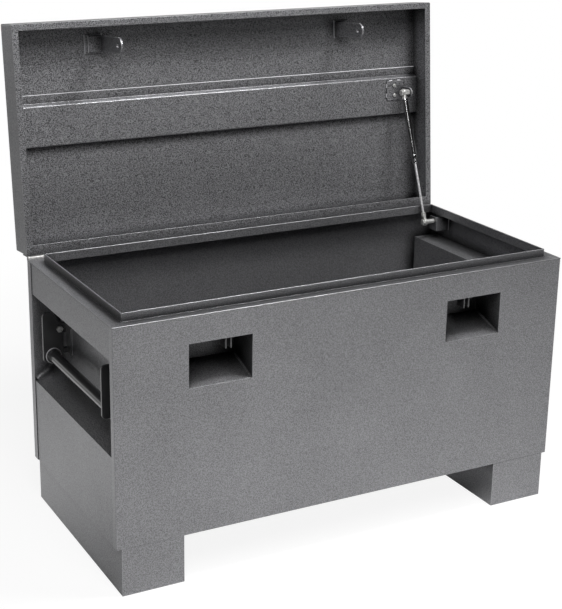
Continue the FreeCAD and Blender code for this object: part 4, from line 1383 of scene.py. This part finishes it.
def make_world(strength):
    """Dim surroundings, white to the eye, and to gloss along the horizon behind the box."""
    surround = Surround("surround")
    outputs = surround.add("ShaderNodeLightPath").socket.node.outputs
    way = surround.add("ShaderNodeTexCoord", output="Generated")
    split = surround.add("ShaderNodeSeparateXYZ", inputs={0: way}).socket.node.outputs
    rear = (surround.band(Wire(surround, split["Y"]), -0.1, 0.3)
            * surround.band(Wire(surround, split["Z"]), 0.25, 0.05))
    seen = (Wire(surround, outputs["Is Camera Ray"])
            + Wire(surround, outputs["Is Transmission Ray"])
            + Wire(surround, outputs["Is Glossy Ray"]) * rear).at_most(1.0)
    mixed = surround.add("ShaderNodeMixShader", inputs={
        0: seen, 1: surround.background(strength), 2: surround.background(1.0)})
    output = surround.nodes.new("ShaderNodeOutputWorld")
    surround.links.new(mixed.socket, output.inputs["Surface"])
    bpy.context.scene.world = surround.world


class STORAGE_OT_stage(bpy.types.Operator):
    """Camera, lamps, floor and surroundings."""

    bl_idname = "storage.stage"
    bl_label = "Stage"

    def execute(self, context):
        stage = context.scene.storage_stage
        context.scene.view_settings.view_transform = "Standard"
        make_camera(stage)
        make_floor(stage)
        make_world(stage.surround)
        make_lamp("front_lamp", stage.front_way, stage.front_distance, stage.front_size,
                  stage.front_power)
        make_lamp("top_lamp", stage.top_way, stage.top_distance, stage.top_size,
                  stage.top_power)
        return {"FINISHED"}


class STORAGE_PT_sidebar(bpy.types.Panel):
    """Builds the storage box piece by piece."""

    bl_label = "Storage Box"
    bl_idname = "STORAGE_PT_sidebar"
    bl_space_type = "VIEW_3D"
    bl_region_type = "UI"
    bl_category = "Storage Box"

    def draw(self, context):
        column = self.layout.column()
        for operator in OPERATORS:
            column.operator(operator.bl_idname)
        for name, group in GROUPS.items():
            column.separator()
            for size in group.__annotations__:
                column.prop(getattr(context.scene, name), size)


GROUPS = {"storage_stage": STORAGE_PG_stage, "storage_steel": STORAGE_PG_steel,
          "storage_paint": STORAGE_PG_paint, "storage_joining": STORAGE_PG_joining}
OPERATORS = (STORAGE_OT_stage, STORAGE_OT_walls, STORAGE_OT_skids, STORAGE_OT_housings,
             STORAGE_OT_lid, STORAGE_OT_hasps, STORAGE_OT_hinge, STORAGE_OT_strut,
             STORAGE_OT_handles)


def register():
    for kind in (*GROUPS.values(), *OPERATORS, STORAGE_PT_sidebar):
        bpy.utils.register_class(kind)
    for name, group in GROUPS.items():
        setattr(bpy.types.Scene, name, bpy.props.PointerProperty(type=group))


def unregister():
    for name in GROUPS:
        delattr(bpy.types.Scene, name)
    for kind in reversed((*GROUPS.values(), *OPERATORS, STORAGE_PT_sidebar)):
        bpy.utils.unregister_class(kind)


def main():
    register()
    bpy.ops.storage.stage()
    bpy.ops.storage.walls()
    bpy.ops.storage.skids()
    bpy.ops.storage.housings()
    bpy.ops.storage.lid()
    bpy.ops.storage.hasps()
    bpy.ops.storage.hinge()
    bpy.ops.storage.strut()
    bpy.ops.storage.handles()


if __name__ == "__main__":
    main()
